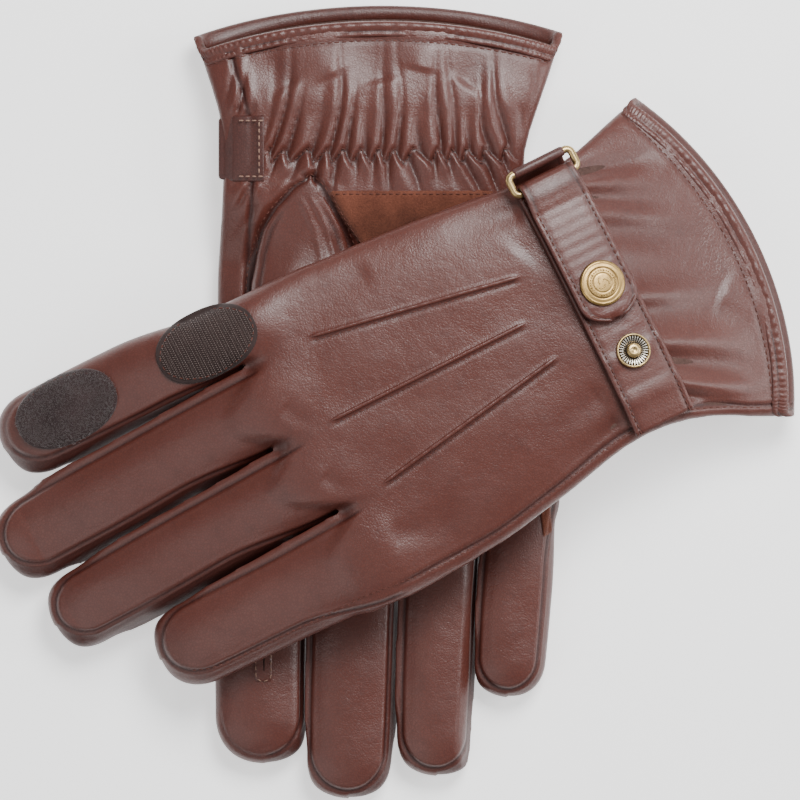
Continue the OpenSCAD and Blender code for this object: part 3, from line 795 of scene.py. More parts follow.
def strap_along(path, wide, thick, tip=0.0):
    """Rings of a strap whose underside follows a path of (v, h) points."""
    path = np.asarray(path, float)
    way = np.gradient(path, axis=0)
    way = way / np.linalg.norm(way, axis=1)[:, None]
    reach = np.concatenate([[0], np.cumsum(np.linalg.norm(np.diff(path, axis=0), axis=1))])
    rings = []
    for (v, h), d, run in zip(path, way, reach):
        left = reach[-1] - run
        width = wide
        if tip and left < tip:
            width = wide * max(0.30, math.sqrt(max(0.0, 1 - ((tip - left) / tip) ** 2.4)))
        sec = strap_section(width, thick)
        sec[:, 1] += 0.06 * np.sin(run * 1.9) + 0.04 * np.sin(run * 0.83 + 1)
        rings.append(np.stack([sec[:, 0], v - d[1] * sec[:, 1], h + d[0] * sec[:, 1]], 1))
    return rings


# ------------------------------------------------------------------ materials

def socket_group(name, inputs, outputs):
    g = bpy.data.node_groups.new(name, "ShaderNodeTree")
    for label, kind, value in inputs:
        item = g.interface.new_socket(label, in_out="INPUT", socket_type=kind)
        if value is not None:
            item.default_value = value
    for label, kind in outputs:
        g.interface.new_socket(label, in_out="OUTPUT", socket_type=kind)
    start, end = g.nodes.new("NodeGroupInput"), g.nodes.new("NodeGroupOutput")
    return g, start, end


def put(tree, kind, links=None, **values):
    """A node with its properties set; links maps input names or numbers to sockets or values."""
    n = tree.nodes.new(kind)
    for key, value in values.items():
        setattr(n, key, value)
    for key, value in (links or {}).items():
        if isinstance(value, bpy.types.NodeSocket):
            tree.links.new(value, n.inputs[key])
        else:
            n.inputs[key].default_value = value
    return n


def maths(tree, op, *args, clamp=False):
    n = put(tree, "ShaderNodeMath", {i: a for i, a in enumerate(args)}, operation=op)
    n.use_clamp = clamp
    return n.outputs[0]


def blend_colour(tree, factor, a, b, mode="MIX"):
    n = tree.nodes.new("ShaderNodeMix")
    n.data_type, n.blend_type = "RGBA", mode
    for key, value in ((0, factor), (6, a), (7, b)):
        if isinstance(value, bpy.types.NodeSocket):
            tree.links.new(value, n.inputs[key])
        else:
            n.inputs[key].default_value = value
    return n.outputs[2]


def spread(tree, value, low, high, a=0.0, b=1.0):
    n = put(tree, "ShaderNodeMapRange", {0: value, 1: low, 2: high, 3: a, 4: b}, clamp=True)
    return n.outputs[0]


def noise(tree, where, scale, detail=3.0, rough=0.5, twist=0.0):
    n = put(tree, "ShaderNodeTexNoise", {"Vector": where, "Scale": scale, "Detail": detail,
                                         "Roughness": rough, "Distortion": twist})
    return n.outputs[0]


def leather_group():
    """Colour, roughness and surface of soft full-grain leather."""
    g, start, end = socket_group("soft_leather", [
        ("Colour", "NodeSocketColor", (0.16, 0.06, 0.05, 1)),
        ("Deep", "NodeSocketColor", (0.06, 0.015, 0.01, 1)),
        ("Worn", "NodeSocketColor", (0.3, 0.17, 0.14, 1)),
        ("Painted_shade_and_patina", "NodeSocketFloat", 0.0), ("Grain", "NodeSocketFloat", 1.0)],
        [("Colour", "NodeSocketColor"), ("Roughness", "NodeSocketFloat"),
         ("Normal", "NodeSocketVector")])
    where = put(g, "ShaderNodeTexCoord").outputs["Object"]
    bend = put(g, "ShaderNodeTexNoise", {"Vector": where, "Scale": 300.0, "Detail": 2.0})
    shift = put(g, "ShaderNodeVectorMath", {0: bend.outputs[1], 1: (0.5, 0.5, 0.5)},
                operation="SUBTRACT").outputs[0]
    shift = put(g, "ShaderNodeVectorMath", {0: shift, "Scale": 0.0011}, operation="SCALE").outputs[0]
    bent = put(g, "ShaderNodeVectorMath", {0: where, 1: shift}, operation="ADD").outputs[0]
    cells = put(g, "ShaderNodeTexVoronoi", {"Vector": bent, "Scale": 1050.0},
                feature="DISTANCE_TO_EDGE").outputs[0]
    pebble = spread(g, cells, 0.0, 0.22)
    small = noise(g, where, 2600.0, 2.0)
    wrinkle = put(g, "ShaderNodeTexVoronoi", {"Vector": bent, "Scale": 260.0},
                  feature="DISTANCE_TO_EDGE").outputs[0]
    wrinkle = spread(g, wrinkle, 0.0, 0.06)
    soft = noise(g, where, 55.0, 4.0, 0.55)
    wide = noise(g, where, 17.0, 3.0, 0.5, 0.4)
    mottle = noise(g, where, 150.0, 5.0, 0.62)
    height = maths(g, "MULTIPLY_ADD", pebble, 0.55, maths(g, "MULTIPLY", small, 0.35))
    height = maths(g, "MULTIPLY_ADD", wrinkle, 0.35, height)
    height = maths(g, "MULTIPLY", height, start.outputs["Grain"])
    bump = put(g, "ShaderNodeBump", {"Strength": 0.42, "Distance": 0.00011, "Height": height})
    broad = maths(g, "MULTIPLY_ADD", mottle, 0.35, soft)
    under = put(g, "ShaderNodeBump", {"Strength": 0.5, "Distance": 0.0011, "Height": broad,
                                      "Normal": bump.outputs[0]})
    pits = maths(g, "SUBTRACT", 1.0, pebble)
    # The crease input carries painted shade in the leather's creases and seams; with the darker grain
    # lines and mottle it pulls the colour towards Deep.
    shade = maths(g, "MULTIPLY_ADD", pits, 0.30, maths(g, "MULTIPLY", start.outputs["Painted_shade_and_patina"], 0.95),
                  clamp=True)
    shade = maths(g, "ADD", shade, spread(g, mottle, 0.56, 0.76, 0.0, 0.22), clamp=True)
    lit = maths(g, "MULTIPLY", spread(g, wide, 0.42, 0.68), 0.55)
    lit = maths(g, "MULTIPLY_ADD", spread(g, mottle, 0.5, 0.32, 0.0, 0.28), 1.0, lit, clamp=True)
    colour = blend_colour(g, lit, start.outputs["Colour"], start.outputs["Worn"])
    colour = blend_colour(g, shade, colour, start.outputs["Deep"])
    rough = spread(g, soft, 0.3, 0.7, 0.33, 0.45)
    rough = maths(g, "MULTIPLY_ADD", shade, 0.16, rough, clamp=True)
    g.links.new(colour, end.inputs["Colour"])
    g.links.new(rough, end.inputs["Roughness"])
    g.links.new(under.outputs[0], end.inputs["Normal"])
    return g


def cloth_group():
    """Colour and surface of napped suede, knitted lining and brushed pile."""
    g, start, end = socket_group("napped_cloth", [
        ("Colour", "NodeSocketColor", (0.2, 0.06, 0.03, 1)),
        ("Deep", "NodeSocketColor", (0.08, 0.02, 0.01, 1)),
        ("Scale", "NodeSocketFloat", 900.0), ("Depth", "NodeSocketFloat", 0.0003)],
        [("Colour", "NodeSocketColor"), ("Normal", "NodeSocketVector")])
    where = put(g, "ShaderNodeTexCoord").outputs["Object"]
    fibre = put(g, "ShaderNodeTexNoise", {"Vector": where, "Scale": start.outputs["Scale"],
                                          "Detail": 4.0, "Roughness": 0.7}).outputs[0]
    patchy = noise(g, where, 120.0, 4.0, 0.6)
    cloud = noise(g, where, 40.0, 3.0, 0.5)
    mixed = maths(g, "MULTIPLY_ADD", fibre, 0.8, maths(g, "MULTIPLY", patchy, 0.7))
    mixed = maths(g, "MULTIPLY_ADD", cloud, 0.5, mixed)
    colour = blend_colour(g, spread(g, mixed, 0.75, 1.25), start.outputs["Deep"],
                          start.outputs["Colour"])
    bump = put(g, "ShaderNodeBump", {"Strength": 0.8, "Distance": start.outputs["Depth"],
                                     "Height": mixed})
    g.links.new(colour, end.inputs["Colour"])
    g.links.new(bump.outputs[0], end.inputs["Normal"])
    return g


def brass_group():
    """Colour, roughness and surface of antiqued brass with darkened hollows."""
    g, start, end = socket_group("antiqued_brass", [
        ("Colour", "NodeSocketColor", (0.5, 0.34, 0.14, 1)),
        ("Deep", "NodeSocketColor", (0.14, 0.085, 0.035, 1)), ("Painted_shade_and_patina", "NodeSocketFloat", 0.0)],
        [("Colour", "NodeSocketColor"), ("Roughness", "NodeSocketFloat"),
         ("Normal", "NodeSocketVector")])
    where = put(g, "ShaderNodeTexCoord").outputs["Object"]
    stain = noise(g, where, 420.0, 5.0, 0.6)
    fine = noise(g, where, 2400.0, 3.0, 0.6)
    worn = noise(g, where, 130.0, 3.0, 0.5)
    dark = maths(g, "ADD", spread(g, stain, 0.46, 0.72, 0.0, 0.4), start.outputs["Painted_shade_and_patina"], clamp=True)
    colour = blend_colour(g, dark, start.outputs["Colour"], start.outputs["Deep"])
    rough = maths(g, "MULTIPLY_ADD", dark, 0.22, spread(g, worn, 0.3, 0.7, 0.26, 0.4))
    bump = put(g, "ShaderNodeBump", {"Strength": 0.25, "Distance": 0.00006,
                                     "Height": maths(g, "MULTIPLY_ADD", fine, 0.6, stain)})
    g.links.new(colour, end.inputs["Colour"])
    g.links.new(rough, end.inputs["Roughness"])
    g.links.new(bump.outputs[0], end.inputs["Normal"])
    return g


LEATHER_NODES, CLOTH_NODES, BRASS_NODES = leather_group(), cloth_group(), brass_group()


def new_material(name):
    m = bpy.data.materials.new(name)
    m.use_nodes = True
    tree = m.node_tree
    tree.nodes.clear()
    shader = tree.nodes.new("ShaderNodeBsdfPrincipled")
    out = tree.nodes.new("ShaderNodeOutputMaterial")
    tree.links.new(shader.outputs[0], out.inputs[0])
    return m, tree, shader


def leather_material(name, colour, deep, worn, grain=1.0, painted_shade_and_patina=True):
    m, tree, shader = new_material(name)
    group = put(tree, "ShaderNodeGroup", node_tree=LEATHER_NODES)
    for label, value in (("Colour", colour), ("Deep", deep), ("Worn", worn)):
        group.inputs[label].default_value = (*value, 1)
    group.inputs["Grain"].default_value = grain
    # The point attribute carries painted shade for creases, seams and side strips.
    if painted_shade_and_patina:
        mark = put(tree, "ShaderNodeAttribute", attribute_name="painted_shade_and_patina")
        tree.links.new(mark.outputs["Fac"], group.inputs["Painted_shade_and_patina"])
    tree.links.new(group.outputs["Colour"], shader.inputs["Base Color"])
    tree.links.new(group.outputs["Roughness"], shader.inputs["Roughness"])
    tree.links.new(group.outputs["Normal"], shader.inputs["Normal"])
    shader.inputs["Specular IOR Level"].default_value = 0.5
    shader.inputs["Coat Weight"].default_value = 0.12
    shader.inputs["Coat Roughness"].default_value = 0.28
    return m


def cloth_material(name, colour, deep, scale, depth, sheen=0.25):
    m, tree, shader = new_material(name)
    group = put(tree, "ShaderNodeGroup", node_tree=CLOTH_NODES)
    group.inputs["Colour"].default_value = (*colour, 1)
    group.inputs["Deep"].default_value = (*deep, 1)
    group.inputs["Scale"].default_value = scale
    group.inputs["Depth"].default_value = depth
    tree.links.new(group.outputs["Colour"], shader.inputs["Base Color"])
    tree.links.new(group.outputs["Normal"], shader.inputs["Normal"])
    shader.inputs["Roughness"].default_value = 0.85
    shader.inputs["Specular IOR Level"].default_value = 0.2
    shader.inputs["Sheen Weight"].default_value = sheen
    shader.inputs["Sheen Roughness"].default_value = 0.45
    return m


def brass_material(name, colour, deep, painted_shade_and_patina=False):
    m, tree, shader = new_material(name)
    group = put(tree, "ShaderNodeGroup", node_tree=BRASS_NODES)
    group.inputs["Colour"].default_value = (*colour, 1)
    group.inputs["Deep"].default_value = (*deep, 1)
    if painted_shade_and_patina:
        mark = put(tree, "ShaderNodeAttribute", attribute_name="painted_shade_and_patina")
        tree.links.new(mark.outputs["Fac"], group.inputs["Painted_shade_and_patina"])
    tree.links.new(group.outputs["Colour"], shader.inputs["Base Color"])
    tree.links.new(group.outputs["Roughness"], shader.inputs["Roughness"])
    tree.links.new(group.outputs["Normal"], shader.inputs["Normal"])
    shader.inputs["Metallic"].default_value = 1.0
    return m


LEATHER = leather_material("leather", (0.088, 0.0215, 0.0145), (0.028, 0.004, 0.0025),
                           (0.108, 0.032, 0.023))
STRAP_LEATHER = leather_material("strap_leather", (0.088, 0.0215, 0.015), (0.028, 0.004, 0.0025),
                                 (0.110, 0.034, 0.025), grain=0.85)
SUEDE = cloth_material("suede", (0.175, 0.056, 0.032), (0.075, 0.021, 0.012), 1500.0, 0.00035)
# A near-black cloth that paints the shadow inside the slit's opening.
SLIT_SHADOW = cloth_material("painted_slit_shadow", (0.02, 0.010, 0.008), (0.01, 0.005, 0.004), 900.0,
                            0.0002, sheen=0.0)
LINING = cloth_material("lining", (0.10, 0.055, 0.045), (0.045, 0.022, 0.018), 900.0, 0.0004)
PILE = cloth_material("loop_pile", (0.050, 0.030, 0.030), (0.018, 0.010, 0.010), 1800.0, 0.0003)
HOOK_BASE = cloth_material("hook_tape", (0.045, 0.028, 0.026), (0.025, 0.016, 0.015), 1500.0,
                           0.0002, sheen=0.1)
THREAD = cloth_material("thread", (0.13, 0.045, 0.034), (0.06, 0.018, 0.012), 3000.0, 0.0001, 0.1)
LIGHT_THREAD = cloth_material("light_thread", (0.33, 0.21, 0.16), (0.2, 0.11, 0.08), 3000.0,
                              0.0001, 0.1)
BRASS = brass_material("brass", (0.50, 0.36, 0.17), (0.13, 0.08, 0.035))
CAP_BRASS = brass_material("cap_brass", (0.40, 0.26, 0.10), (0.08, 0.045, 0.018), painted_shade_and_patina=True)
STEEL = brass_material("plated_teeth", (0.46, 0.42, 0.36), (0.08, 0.065, 0.05))
DARK_METAL = brass_material("dark_brass", (0.06, 0.045, 0.03), (0.03, 0.02, 0.012))

FIBRE, _tree, _shader = new_material("fibre")
_shader.inputs["Base Color"].default_value = (0.055, 0.034, 0.032, 1)
_shader.inputs["Roughness"].default_value = 0.7
_shader.inputs["Sheen Weight"].default_value = 0.3
HOOKS, _tree, _shader = new_material("hooks")
_shader.inputs["Base Color"].default_value = (0.13, 0.095, 0.085, 1)
_shader.inputs["Roughness"].default_value = 0.38


# ------------------------------------------------------------------ the gloves

STEP = 0.75
SKIN_LOW, SKIN_HIGH = (-62, -70, -13), (214, 66, 13)


def flip(g, faces):
    return faces if UP[g] > 0 else faces[:, ::-1]


def glove_body(g):
    """Skin of a glove, split into its pieces. Returns the surface that others lie on."""
    side = NAMES[g]
    verts, faces = skin(lambda u, v, w: glove_field(g, u, v, w), SKIN_LOW, SKIN_HIGH, STEP)
    verts = relax(verts, faces, 2)
    out = normals(verts, faces)
    u, v, w = verts.T
    inner = ease((-0.6 - hand_shape(g, u, v, w, 0.01)) / 0.5) * (u < 31.8)
    lift, dark = detail(g, u, v, w)
    verts = verts + out * (lift * (1 - inner))[:, None]
    dark = dark * (1 - inner)
    if g == RIGHT:
        verts[:, 2] = np.minimum(verts[:, 2], pressed(g, verts[:, 0], verts[:, 1]))
    world = set_down(g, verts)
    turned = flip(g, faces)
    world_normals = normals(world, turned)
    c = verts[faces].mean(1)
    inside = inner[faces].mean(1) > 0.5
    on_index = (c[:, 0] > FOLD_U - 14) & (c[:, 1] < gap_v(g, 0, c[:, 0], c[:, 2]))
    gaps = np.min([np.abs(c[:, 1] - gap_v(g, k, c[:, 0], c[:, 2])) for k in range(3)], axis=0)
    start = np.interp(c[:, 1], CROTCH[g][:, 1], CROTCH[g][:, 0])
    strip = (gaps < 3.2) & (c[:, 0] > start - 1) & (np.abs(c[:, 2]) < 4.8)
    groups = (("lining_cloth", inside, LINING, "lining", ("lining",)),
              ("index_fingertip", ~inside & on_index, LEATHER, "leather", ("index_tip",)),
              ("side_strips", ~inside & ~on_index & strip, LEATHER, "leather", ("fourchettes",)),
              ("back_leather", ~inside & ~on_index & ~strip & (c[:, 2] > 0), LEATHER, "leather",
               ("back_panel",)),
              ("palm_leather", ~inside & ~on_index & ~strip & (c[:, 2] <= 0), LEATHER, "leather",
               ("palm_panel",)))
    for name, keep, material, slot, stands in groups:
        part, f, (shade, n) = pick(world, turned, keep, [dark, world_normals])
        mesh = new_mesh(side + "_" + name, part, f)
        # Painted shade from detail() goes on the points for the material to darken the colour.
        point_data(mesh, "painted_shade_and_patina", shade)
        if name != "index_fingertip":
            mesh.normals_split_custom_set_from_vertices(n.tolist())
        obj = piece(side + "_" + name, mesh, material,
                    None if name == "index_fingertip" else side + "_glove",
                    [side + "_" + x for x in stands])
        if name == "index_fingertip":
            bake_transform(obj)
    return Surface(verts, faces[~inside])


def thumb_body(g):
    side = NAMES[g]
    verts, faces = skin(lambda u, v, w: thumb_field(g, u, v, w), (0, -56, -24), (90, 4, 2), 0.8)
    verts = relax(verts, faces, 3)
    out = normals(verts, faces)
    u, v, w = verts.T
    lo, hi = thumb_edges(g, u)
    t = (v - (lo + hi) / 2) / np.maximum((hi - lo) / 2, 1)
    seam = bump(np.abs(t) * (hi - lo) / 2 - (hi - lo) / 2 + 2.6, 0.7) * ease((u - 12) / 10)
    puff = 0.25 * np.sin(u * 0.2 + 2 * np.sin(v * 0.2)) - 0.3 * seam
    ridge = bump(hi - v - 4.2 - 0.05 * u, 0.9) + 0.8 * bump(hi - v - 7.6 - 0.08 * u, 1.1)
    puff = puff + 0.55 * ridge * ease((46 - u) / 20) * ease((u - 9) / 6)
    root = bump(u - THUMBS[g][0, 0], 7.0)
    verts = verts + out * puff[:, None]
    world = set_down(g, verts)
    mesh = new_mesh(side + "_thumb_leather", world, flip(g, faces))
    # Painted shade along the thumb's seam groove and at its base on the palm.
    point_data(mesh, "painted_shade_and_patina", np.clip(0.7 * seam + 0.25 * root, 0, 1))
    piece(side + "_thumb_leather", mesh, LEATHER, side + "_glove", [side + "_thumb"])


def rim_path(g, side, inset, margin=3.0, count=90):
    lo, hi = edge(g, -50, 1) + margin, edge(g, -50, 2) - margin
    v = np.linspace(lo, hi, count)
    return np.stack([mouth_line(g, v, np.full(count, 9.0 * side)) + inset, v], 1)


def cuff_roll(g):
    """Folded edge all round the mouth, puckered by its stitches."""
    side = NAMES[g]
    profile = ((4.3, -0.5), (3.9, 0.2), (3.3, 0.42), (2.7, 0.42), (2.25, 0.1), (1.8, 0.38),
               (1.0, 0.82), (0.1, 0.95), (-0.75, 0.6), (-1.15, -0.35), (-1.0, -1.3), (-0.2, -2.0),
               (1.2, -2.15), (3.0, -2.05), (3.6, -1.4), (3.0, -0.9))
    count = 520
    rings = []
    for i in range(count):
        a = 2 * math.pi * i / count
        x, y = math.cos(a), math.sin(a)
        x = math.copysign(abs(x) ** (2 / HAND_POWER), x)
        y = math.copysign(abs(y) ** (2 / HAND_POWER), y)
        v0 = (edge(g, -50, 1) + edge(g, -50, 2)) / 2 + x * (edge(g, -50, 2) - edge(g, -50, 1)) / 2
        rim = float(mouth_line(g, v0, 9.0 * y))
        pucker = 0.12 * math.sin(i * 2 * math.pi / 5) + 0.1 * math.sin(i * 0.33)
        ring = []
        for du, h in profile:
            u = rim + du
            lo, hi = edge(g, u, 1), edge(g, u, 2)
            rise = h + pucker * (1 if h > 0.3 else 0)
            ring.append((u, (lo + hi) / 2 + ((hi - lo) / 2 + rise) * x, (half(u) + rise) * y))
        rings.append(set_down(g, ring))
    verts, faces = loft(rings, loop=True)
    mesh = new_mesh(side + "_cuff_roll", verts, faces)
    n = len(profile)
    # Painted shade on the roll: darkest in its stitch groove, also on its underside and the edges where it
    # meets the glove.
    shade = np.tile([0.6, 0.3, 0, 0, 0.95, 0, 0, 0, 0, 0.1, 0.3, 0.3, 0.3, 0.3, 0.3, 0.5][:n], count)
    point_data(mesh, "painted_shade_and_patina", shade)
    piece(side + "_cuff_roll", mesh, LEATHER, side + "_glove", [side + "_cuff_hem"])


def add_stitches(g, surface):
    """Every row of stitches on the body of a glove."""
    side = NAMES[g]
    fixed, gather_bag = Bag(), Bag()

    def row(path, face, **sizes):
        stitch_row(fixed, g, surface, path, face, **sizes)

    for face in (1, -1):
        row(rim_path(g, face, 5.4), face, pitch=2.4, length=1.7, radius=0.22)
    little = [(u, edge(g, u, 2) - 3.3) for u in np.linspace(-34, 100, 80)]
    root, way, _, _, wide_tip = finger_axis(g, 3)
    little += [tuple(root + way * a + np.array([-way[1], way[0]]) * (wide_tip - b)) for a, b in
               ((8, 3.9), (20, 4.0), (34, 4.3), (48, 4.4), (60, 4.8), (66, 5.6), (71, 7.4))]
    row(curve(little[::8] + little[-6:], 200), 1)
    for a, b in point_lines():
        u = np.linspace(a[0] + 2, b[0] - 2, 40)
        v = a[1] + (b[1] - a[1]) * (u - a[0]) / (b[0] - a[0]) + 1.15
        row(np.stack([u, v], 1), 1, pitch=2.2, length=1.5)
    row([(u, edge(g, u, 1) + 12.4) for u in np.linspace(24, 100, 50)], -1)
    t = THUMBS[g]
    lo = [(a[0], a[1] - 1.7) for a in t[::-1] if a[0] < 62]
    hi = [(a[0], a[2] + 1.7) for a in t if a[0] < 62]
    row(curve(lo + [(t[0, 0] - 1.7, (t[0, 1] + t[0, 2]) / 2)] + hi, 90), -1)
    v = np.linspace(edge(g, GATHER_U, 1) + 7, edge(g, GATHER_U, 2) - 5, 700)
    path = zigzag_path(g, v)
    stitch_row(gather_bag, g, surface, path, -1, pitch=1.75, length=1.35, radius=0.21)
    piece(side + "_stitches", fixed.mesh(side + "_stitches"), THREAD, side + "_glove")
    piece(side + "_gather_stitches", gather_bag.mesh(side + "_gather_stitches"), THREAD,
          side + "_glove")


def zigzag_path(g, v):
    """The zigzag that holds the wrist elastic, drawn in with the gathered leather."""
    u = np.full_like(v, GATHER_U)
    for _ in range(4):
        lo, hi = edge(g, u, 1), edge(g, u, 2)
        lo0, hi0 = edge(g, GATHER_U, 1), edge(g, GATHER_U, 2)
        across = (v - (lo + hi) / 2) / (hi - lo) * (hi0 - lo0) * (1 + 0.012 * (GATHER_U - u))
        across = across + 0.9 * np.sin(v * 0.19 + 1.3) + 0.7 * np.sin(u * 0.16 + v * 0.31)
        u = GATHER_U + ZIGZAG * (4 * np.abs((across / GATHER_PITCH + 0.25) % 1 - 0.5) - 1)
    return np.stack([u, v], 1)


def pad(g, surface, face, rows, thick, bulge=0.0, sink=0.35, ripple=0.0):
    """A sewn-on piece of given plan rows: it follows the skin, thick at its middle."""
    top, bottom = [], []
    n = len(rows)
    for i, r in enumerate(rows):
        m = len(r)
        line_t, line_b = [], []
        for j, (u, v) in enumerate(r):
            w = surface.height(u, v, face, None)
            if w is None:
                w = face * float(plain_w(g, u, v))
            rim = min(i, n - 1 - i, j, m - 1 - j)
            k = (0.0, 0.72, 0.95, 1.0)[min(rim, 3)]
            x = min(i, n - 1 - i) / (n / 2) * min(j, m - 1 - j) / (m / 2)
            h = thick * k + bulge * x + ripple * math.sin(u * 1.1 + v * 0.7) * (rim > 0)
            line_t.append((u, v, w + face * (h - (sink if rim == 0 else 0))))
            line_b.append((u, v, w - face * 0.6))
        top.append(line_t)
        bottom.append(line_b)
    m = len(rows[0])
    verts = np.array([p for r in top for p in r] + [p for r in bottom for p in r])
    k = n * m
    faces = [f for f in grid_faces(n, m)]
    faces += [tuple(i + k for i in f[::-1]) for f in grid_faces(n, m)]
    edge_loop = [i for i in range(m)] + [r * m + m - 1 for r in range(1, n)] \
        + [(n - 1) * m + i for i in range(m - 2, -1, -1)] + [r * m for r in range(n - 2, 0, -1)]
    for a, b in zip(edge_loop, edge_loop[1:] + edge_loop[:1]):
        faces.append((b, a, a + k, b + k))
    world = set_down(g, verts)
    return world, outward(world, faces)


def lay_grid(corners, nu, nv):
    """Plan rows between four corners: (start low, start high, end low, end high)."""
    a, b, c, d = (np.array(x, float) for x in corners)
    rows = []
    for i in range(nu):
        s = i / (nu - 1)
        lo, hi = a + (c - a) * s, b + (d - b) * s
        rows.append([tuple(lo + (hi - lo) * j / (nv - 1)) for j in range(nv)])
    return rows


def suede_edge(s, inset=0.0):
    """A point on the slanting edge of the palm's suede, s from the wrist to its far end."""
    return 8.5 + inset + (37.5 - 1.5 * inset) * s, -18.5 + 1.7 * inset + 26 * s ** 1.3


def suede_pieces(g, surface):
    side = NAMES[g]
    body = side + "_glove"
    rows = []
    for s in np.linspace(0, 1, 34):
        u, left = suede_edge(s)
        rows.append([(u, v) for v in np.linspace(left, 37.5 - 16 * s * s, 34)])
    verts, faces = pad(g, surface, -1, rows, 0.75, bulge=0.5, ripple=0.06)
    mesh = new_mesh(side + "_palm_suede", verts, faces)
    piece(side + "_palm_suede", mesh, SUEDE, body, [side + "_palm_patch"])
    near_tip = TIPS[g][3][1]
    rows = lay_grid([(62, 45), (62, float(edge(g, 62, 2)) - 2.6),
                     (124, near_tip + 12.0), (122, near_tip + 15.0)], 40, 14)
    verts, faces = pad(g, surface, -1, rows, 0.7, bulge=0.3)
    mesh = new_mesh(side + "_suede_wedge", verts, faces)
    piece(side + "_suede_wedge", mesh, SUEDE, body, [side + "_side_wedge"])


def slit_v(g, u):
    """The line of the slit that lets the index fingertip out."""
    start = CROTCH[g][0, 1] + 11
    return start + (TIPS[g][0][1] - start) * (u - 108) / 88


def slit_pieces(g, surface):
    """The binding round the slit, and its end on the folding fingertip."""
    side = NAMES[g]
    tip_body = side + "_fingertip"
    rows = [[(u, slit_v(g, u) + x) for x in np.linspace(-3.1, 3.1, 12)]
            for u in np.linspace(112, 143, 30)]
    verts, faces = pad(g, surface, -1, rows, 0.55, bulge=0.2)
    mesh = new_mesh(side + "_slit_binding", verts, faces)
    point_data(mesh, "painted_shade_and_patina", np.zeros(len(mesh.vertices)))
    piece(side + "_slit_binding", mesh, LEATHER, side + "_glove",
          [side + "_slit_welt"])
    v_at = index_line(g, 160)
    rows = [[(u, v_at + x * k) for x in np.linspace(-3.2, 3.2, 14)] for u, k in
            list(zip(np.linspace(150, 169, 24), np.ones(24))) + [(170.4, 0.93), (171.6, 0.72)]]
    verts, faces = pad(g, surface, -1, rows, 0.45, bulge=0.15)
    mesh = new_mesh(side + "_slit_end_binding", verts, faces)
    point_data(mesh, "painted_shade_and_patina", np.zeros(len(mesh.vertices)))
    piece(side + "_slit_end_binding", mesh, LEATHER, tip_body)
    # A thin near-black pad paints the shadow in the slit's opening.
    rows = [[(u, v_at + 0.2 + x * k) for x in np.linspace(-1, 1, 6)] for u, k in
            zip(np.linspace(151, 168.6, 14), np.linspace(1.25, 0.12, 14))]
    verts, faces = pad(g, Lifted(surface, 0.45), -1, rows, 0.14)
    mesh = new_mesh(side + "_slit_opening", verts, faces)
    piece(side + "_slit_opening", mesh, SLIT_SHADOW, tip_body)
    bag = Bag()
    rim = [(150 + a, v_at - 2.5) for a in np.linspace(0, 18, 10)] \
        + [(168.6 + 2.2 * math.sin(a), v_at - 2.5 * math.cos(a))
           for a in np.linspace(0.3, 2.84, 8)] \
        + [(168 - a, v_at + 2.5) for a in np.linspace(0, 18, 10)]
    stitch_row(bag, g, Lifted(surface, 0.5), rim, -1)
    piece(side + "_slit_stitches", bag.mesh(side + "_slit_stitches"), LIGHT_THREAD,
          tip_body)


def raised_points(g, surface):
    """The three tucks on the back, each a low ridge that fades at its ends."""
    side = NAMES[g]
    bag = Bag()
    for a, b in point_lines():
        rings = []
        for t in np.linspace(0, 1, 90):
            u, v = a[0] + (b[0] - a[0]) * t, a[1] + (b[1] - a[1]) * t - 0.5
            w = surface.height(u, v, 1, float(plain_w(g, u, v)))
            k = max(math.sin(math.pi * min(1, max(0.0, min(t, 1 - t)) / 0.06) / 2), 0.15)
            rings.append(set_down(g, [
                (u, v + 0.72 * k * math.cos(x), w - 0.15 + 0.5 * k * math.sin(x))
                for x in np.linspace(0, 2 * math.pi, 10, endpoint=False)]))
        bag.add(*loft(rings))
    mesh = bag.mesh(side + "_raised_points")
    point_data(mesh, "painted_shade_and_patina", np.zeros(len(mesh.vertices)))
    piece(side + "_raised_points", mesh, LEATHER, side + "_glove",
          [side + "_back_points"])


def patch_stitches(g, surface):
    """Rows along the slit's binding and the edges of the palm's suede."""
    side = NAMES[g]
    thread = Bag()
    for x in (-2.3, 2.3):
        path = [(u, slit_v(g, u) + x) for u in np.linspace(112, 142, 40)]
        stitch_row(thread, g, Lifted(surface, 0.55), path, -1)
    path = [suede_edge(s, 1.0) for s in np.linspace(0, 1, 40)]
    stitch_row(thread, g, Lifted(surface, 0.75), path, -1)
    path = [(10.0, v) for v in np.linspace(-16, 35, 40)]
    stitch_row(thread, g, Lifted(surface, 0.75), path, -1)
    piece(side + "_patch_stitches", thread.mesh(side + "_patch_stitches"), THREAD,
          side + "_glove")


# ------------------------------------------------------------------ strap, buckle, snaps

def strap_rise(g, surface, v):
    """Height of the strap's underside over the tilted wrist plane."""
    h = float(strap_z(g, v)) + STRAP_LIFT
    lean = math.cos(slope(g))
    for x in (-9, -4.5, 0, 4.5, 9):
        if abs(v) < 44:
            h = max(h, surface.height(STRAP_U[g] + x, v, 1, 0.0) * lean - 0.1)
    return h


def smooth_list(values, rounds=3):
    values = np.array(values, float)
    for _ in range(rounds):
        values[1:-1] = 0.25 * values[:-2] + 0.5 * values[1:-1] + 0.25 * values[2:]
    return values


def strap_stitches(bag, g, path, wide, lift):
    """A row near each edge of a strap; path holds (v, h) of its top face."""
    for x in (-wide / 2 + 1.85, wide / 2 - 1.85):
        for p, way in zip(*walk(path, 2.25)):
            n = np.array([0, -way[1], way[0]])
            a = np.array([x, p[0], p[1]]) + n * lift
            d = np.array([0, way[0], way[1]]) * 0.78
            verts, faces = capsule(a - d, a + d, n, 0.27)
            world = wrist_down(g, verts)
            bag.add(world, outward(world, faces))


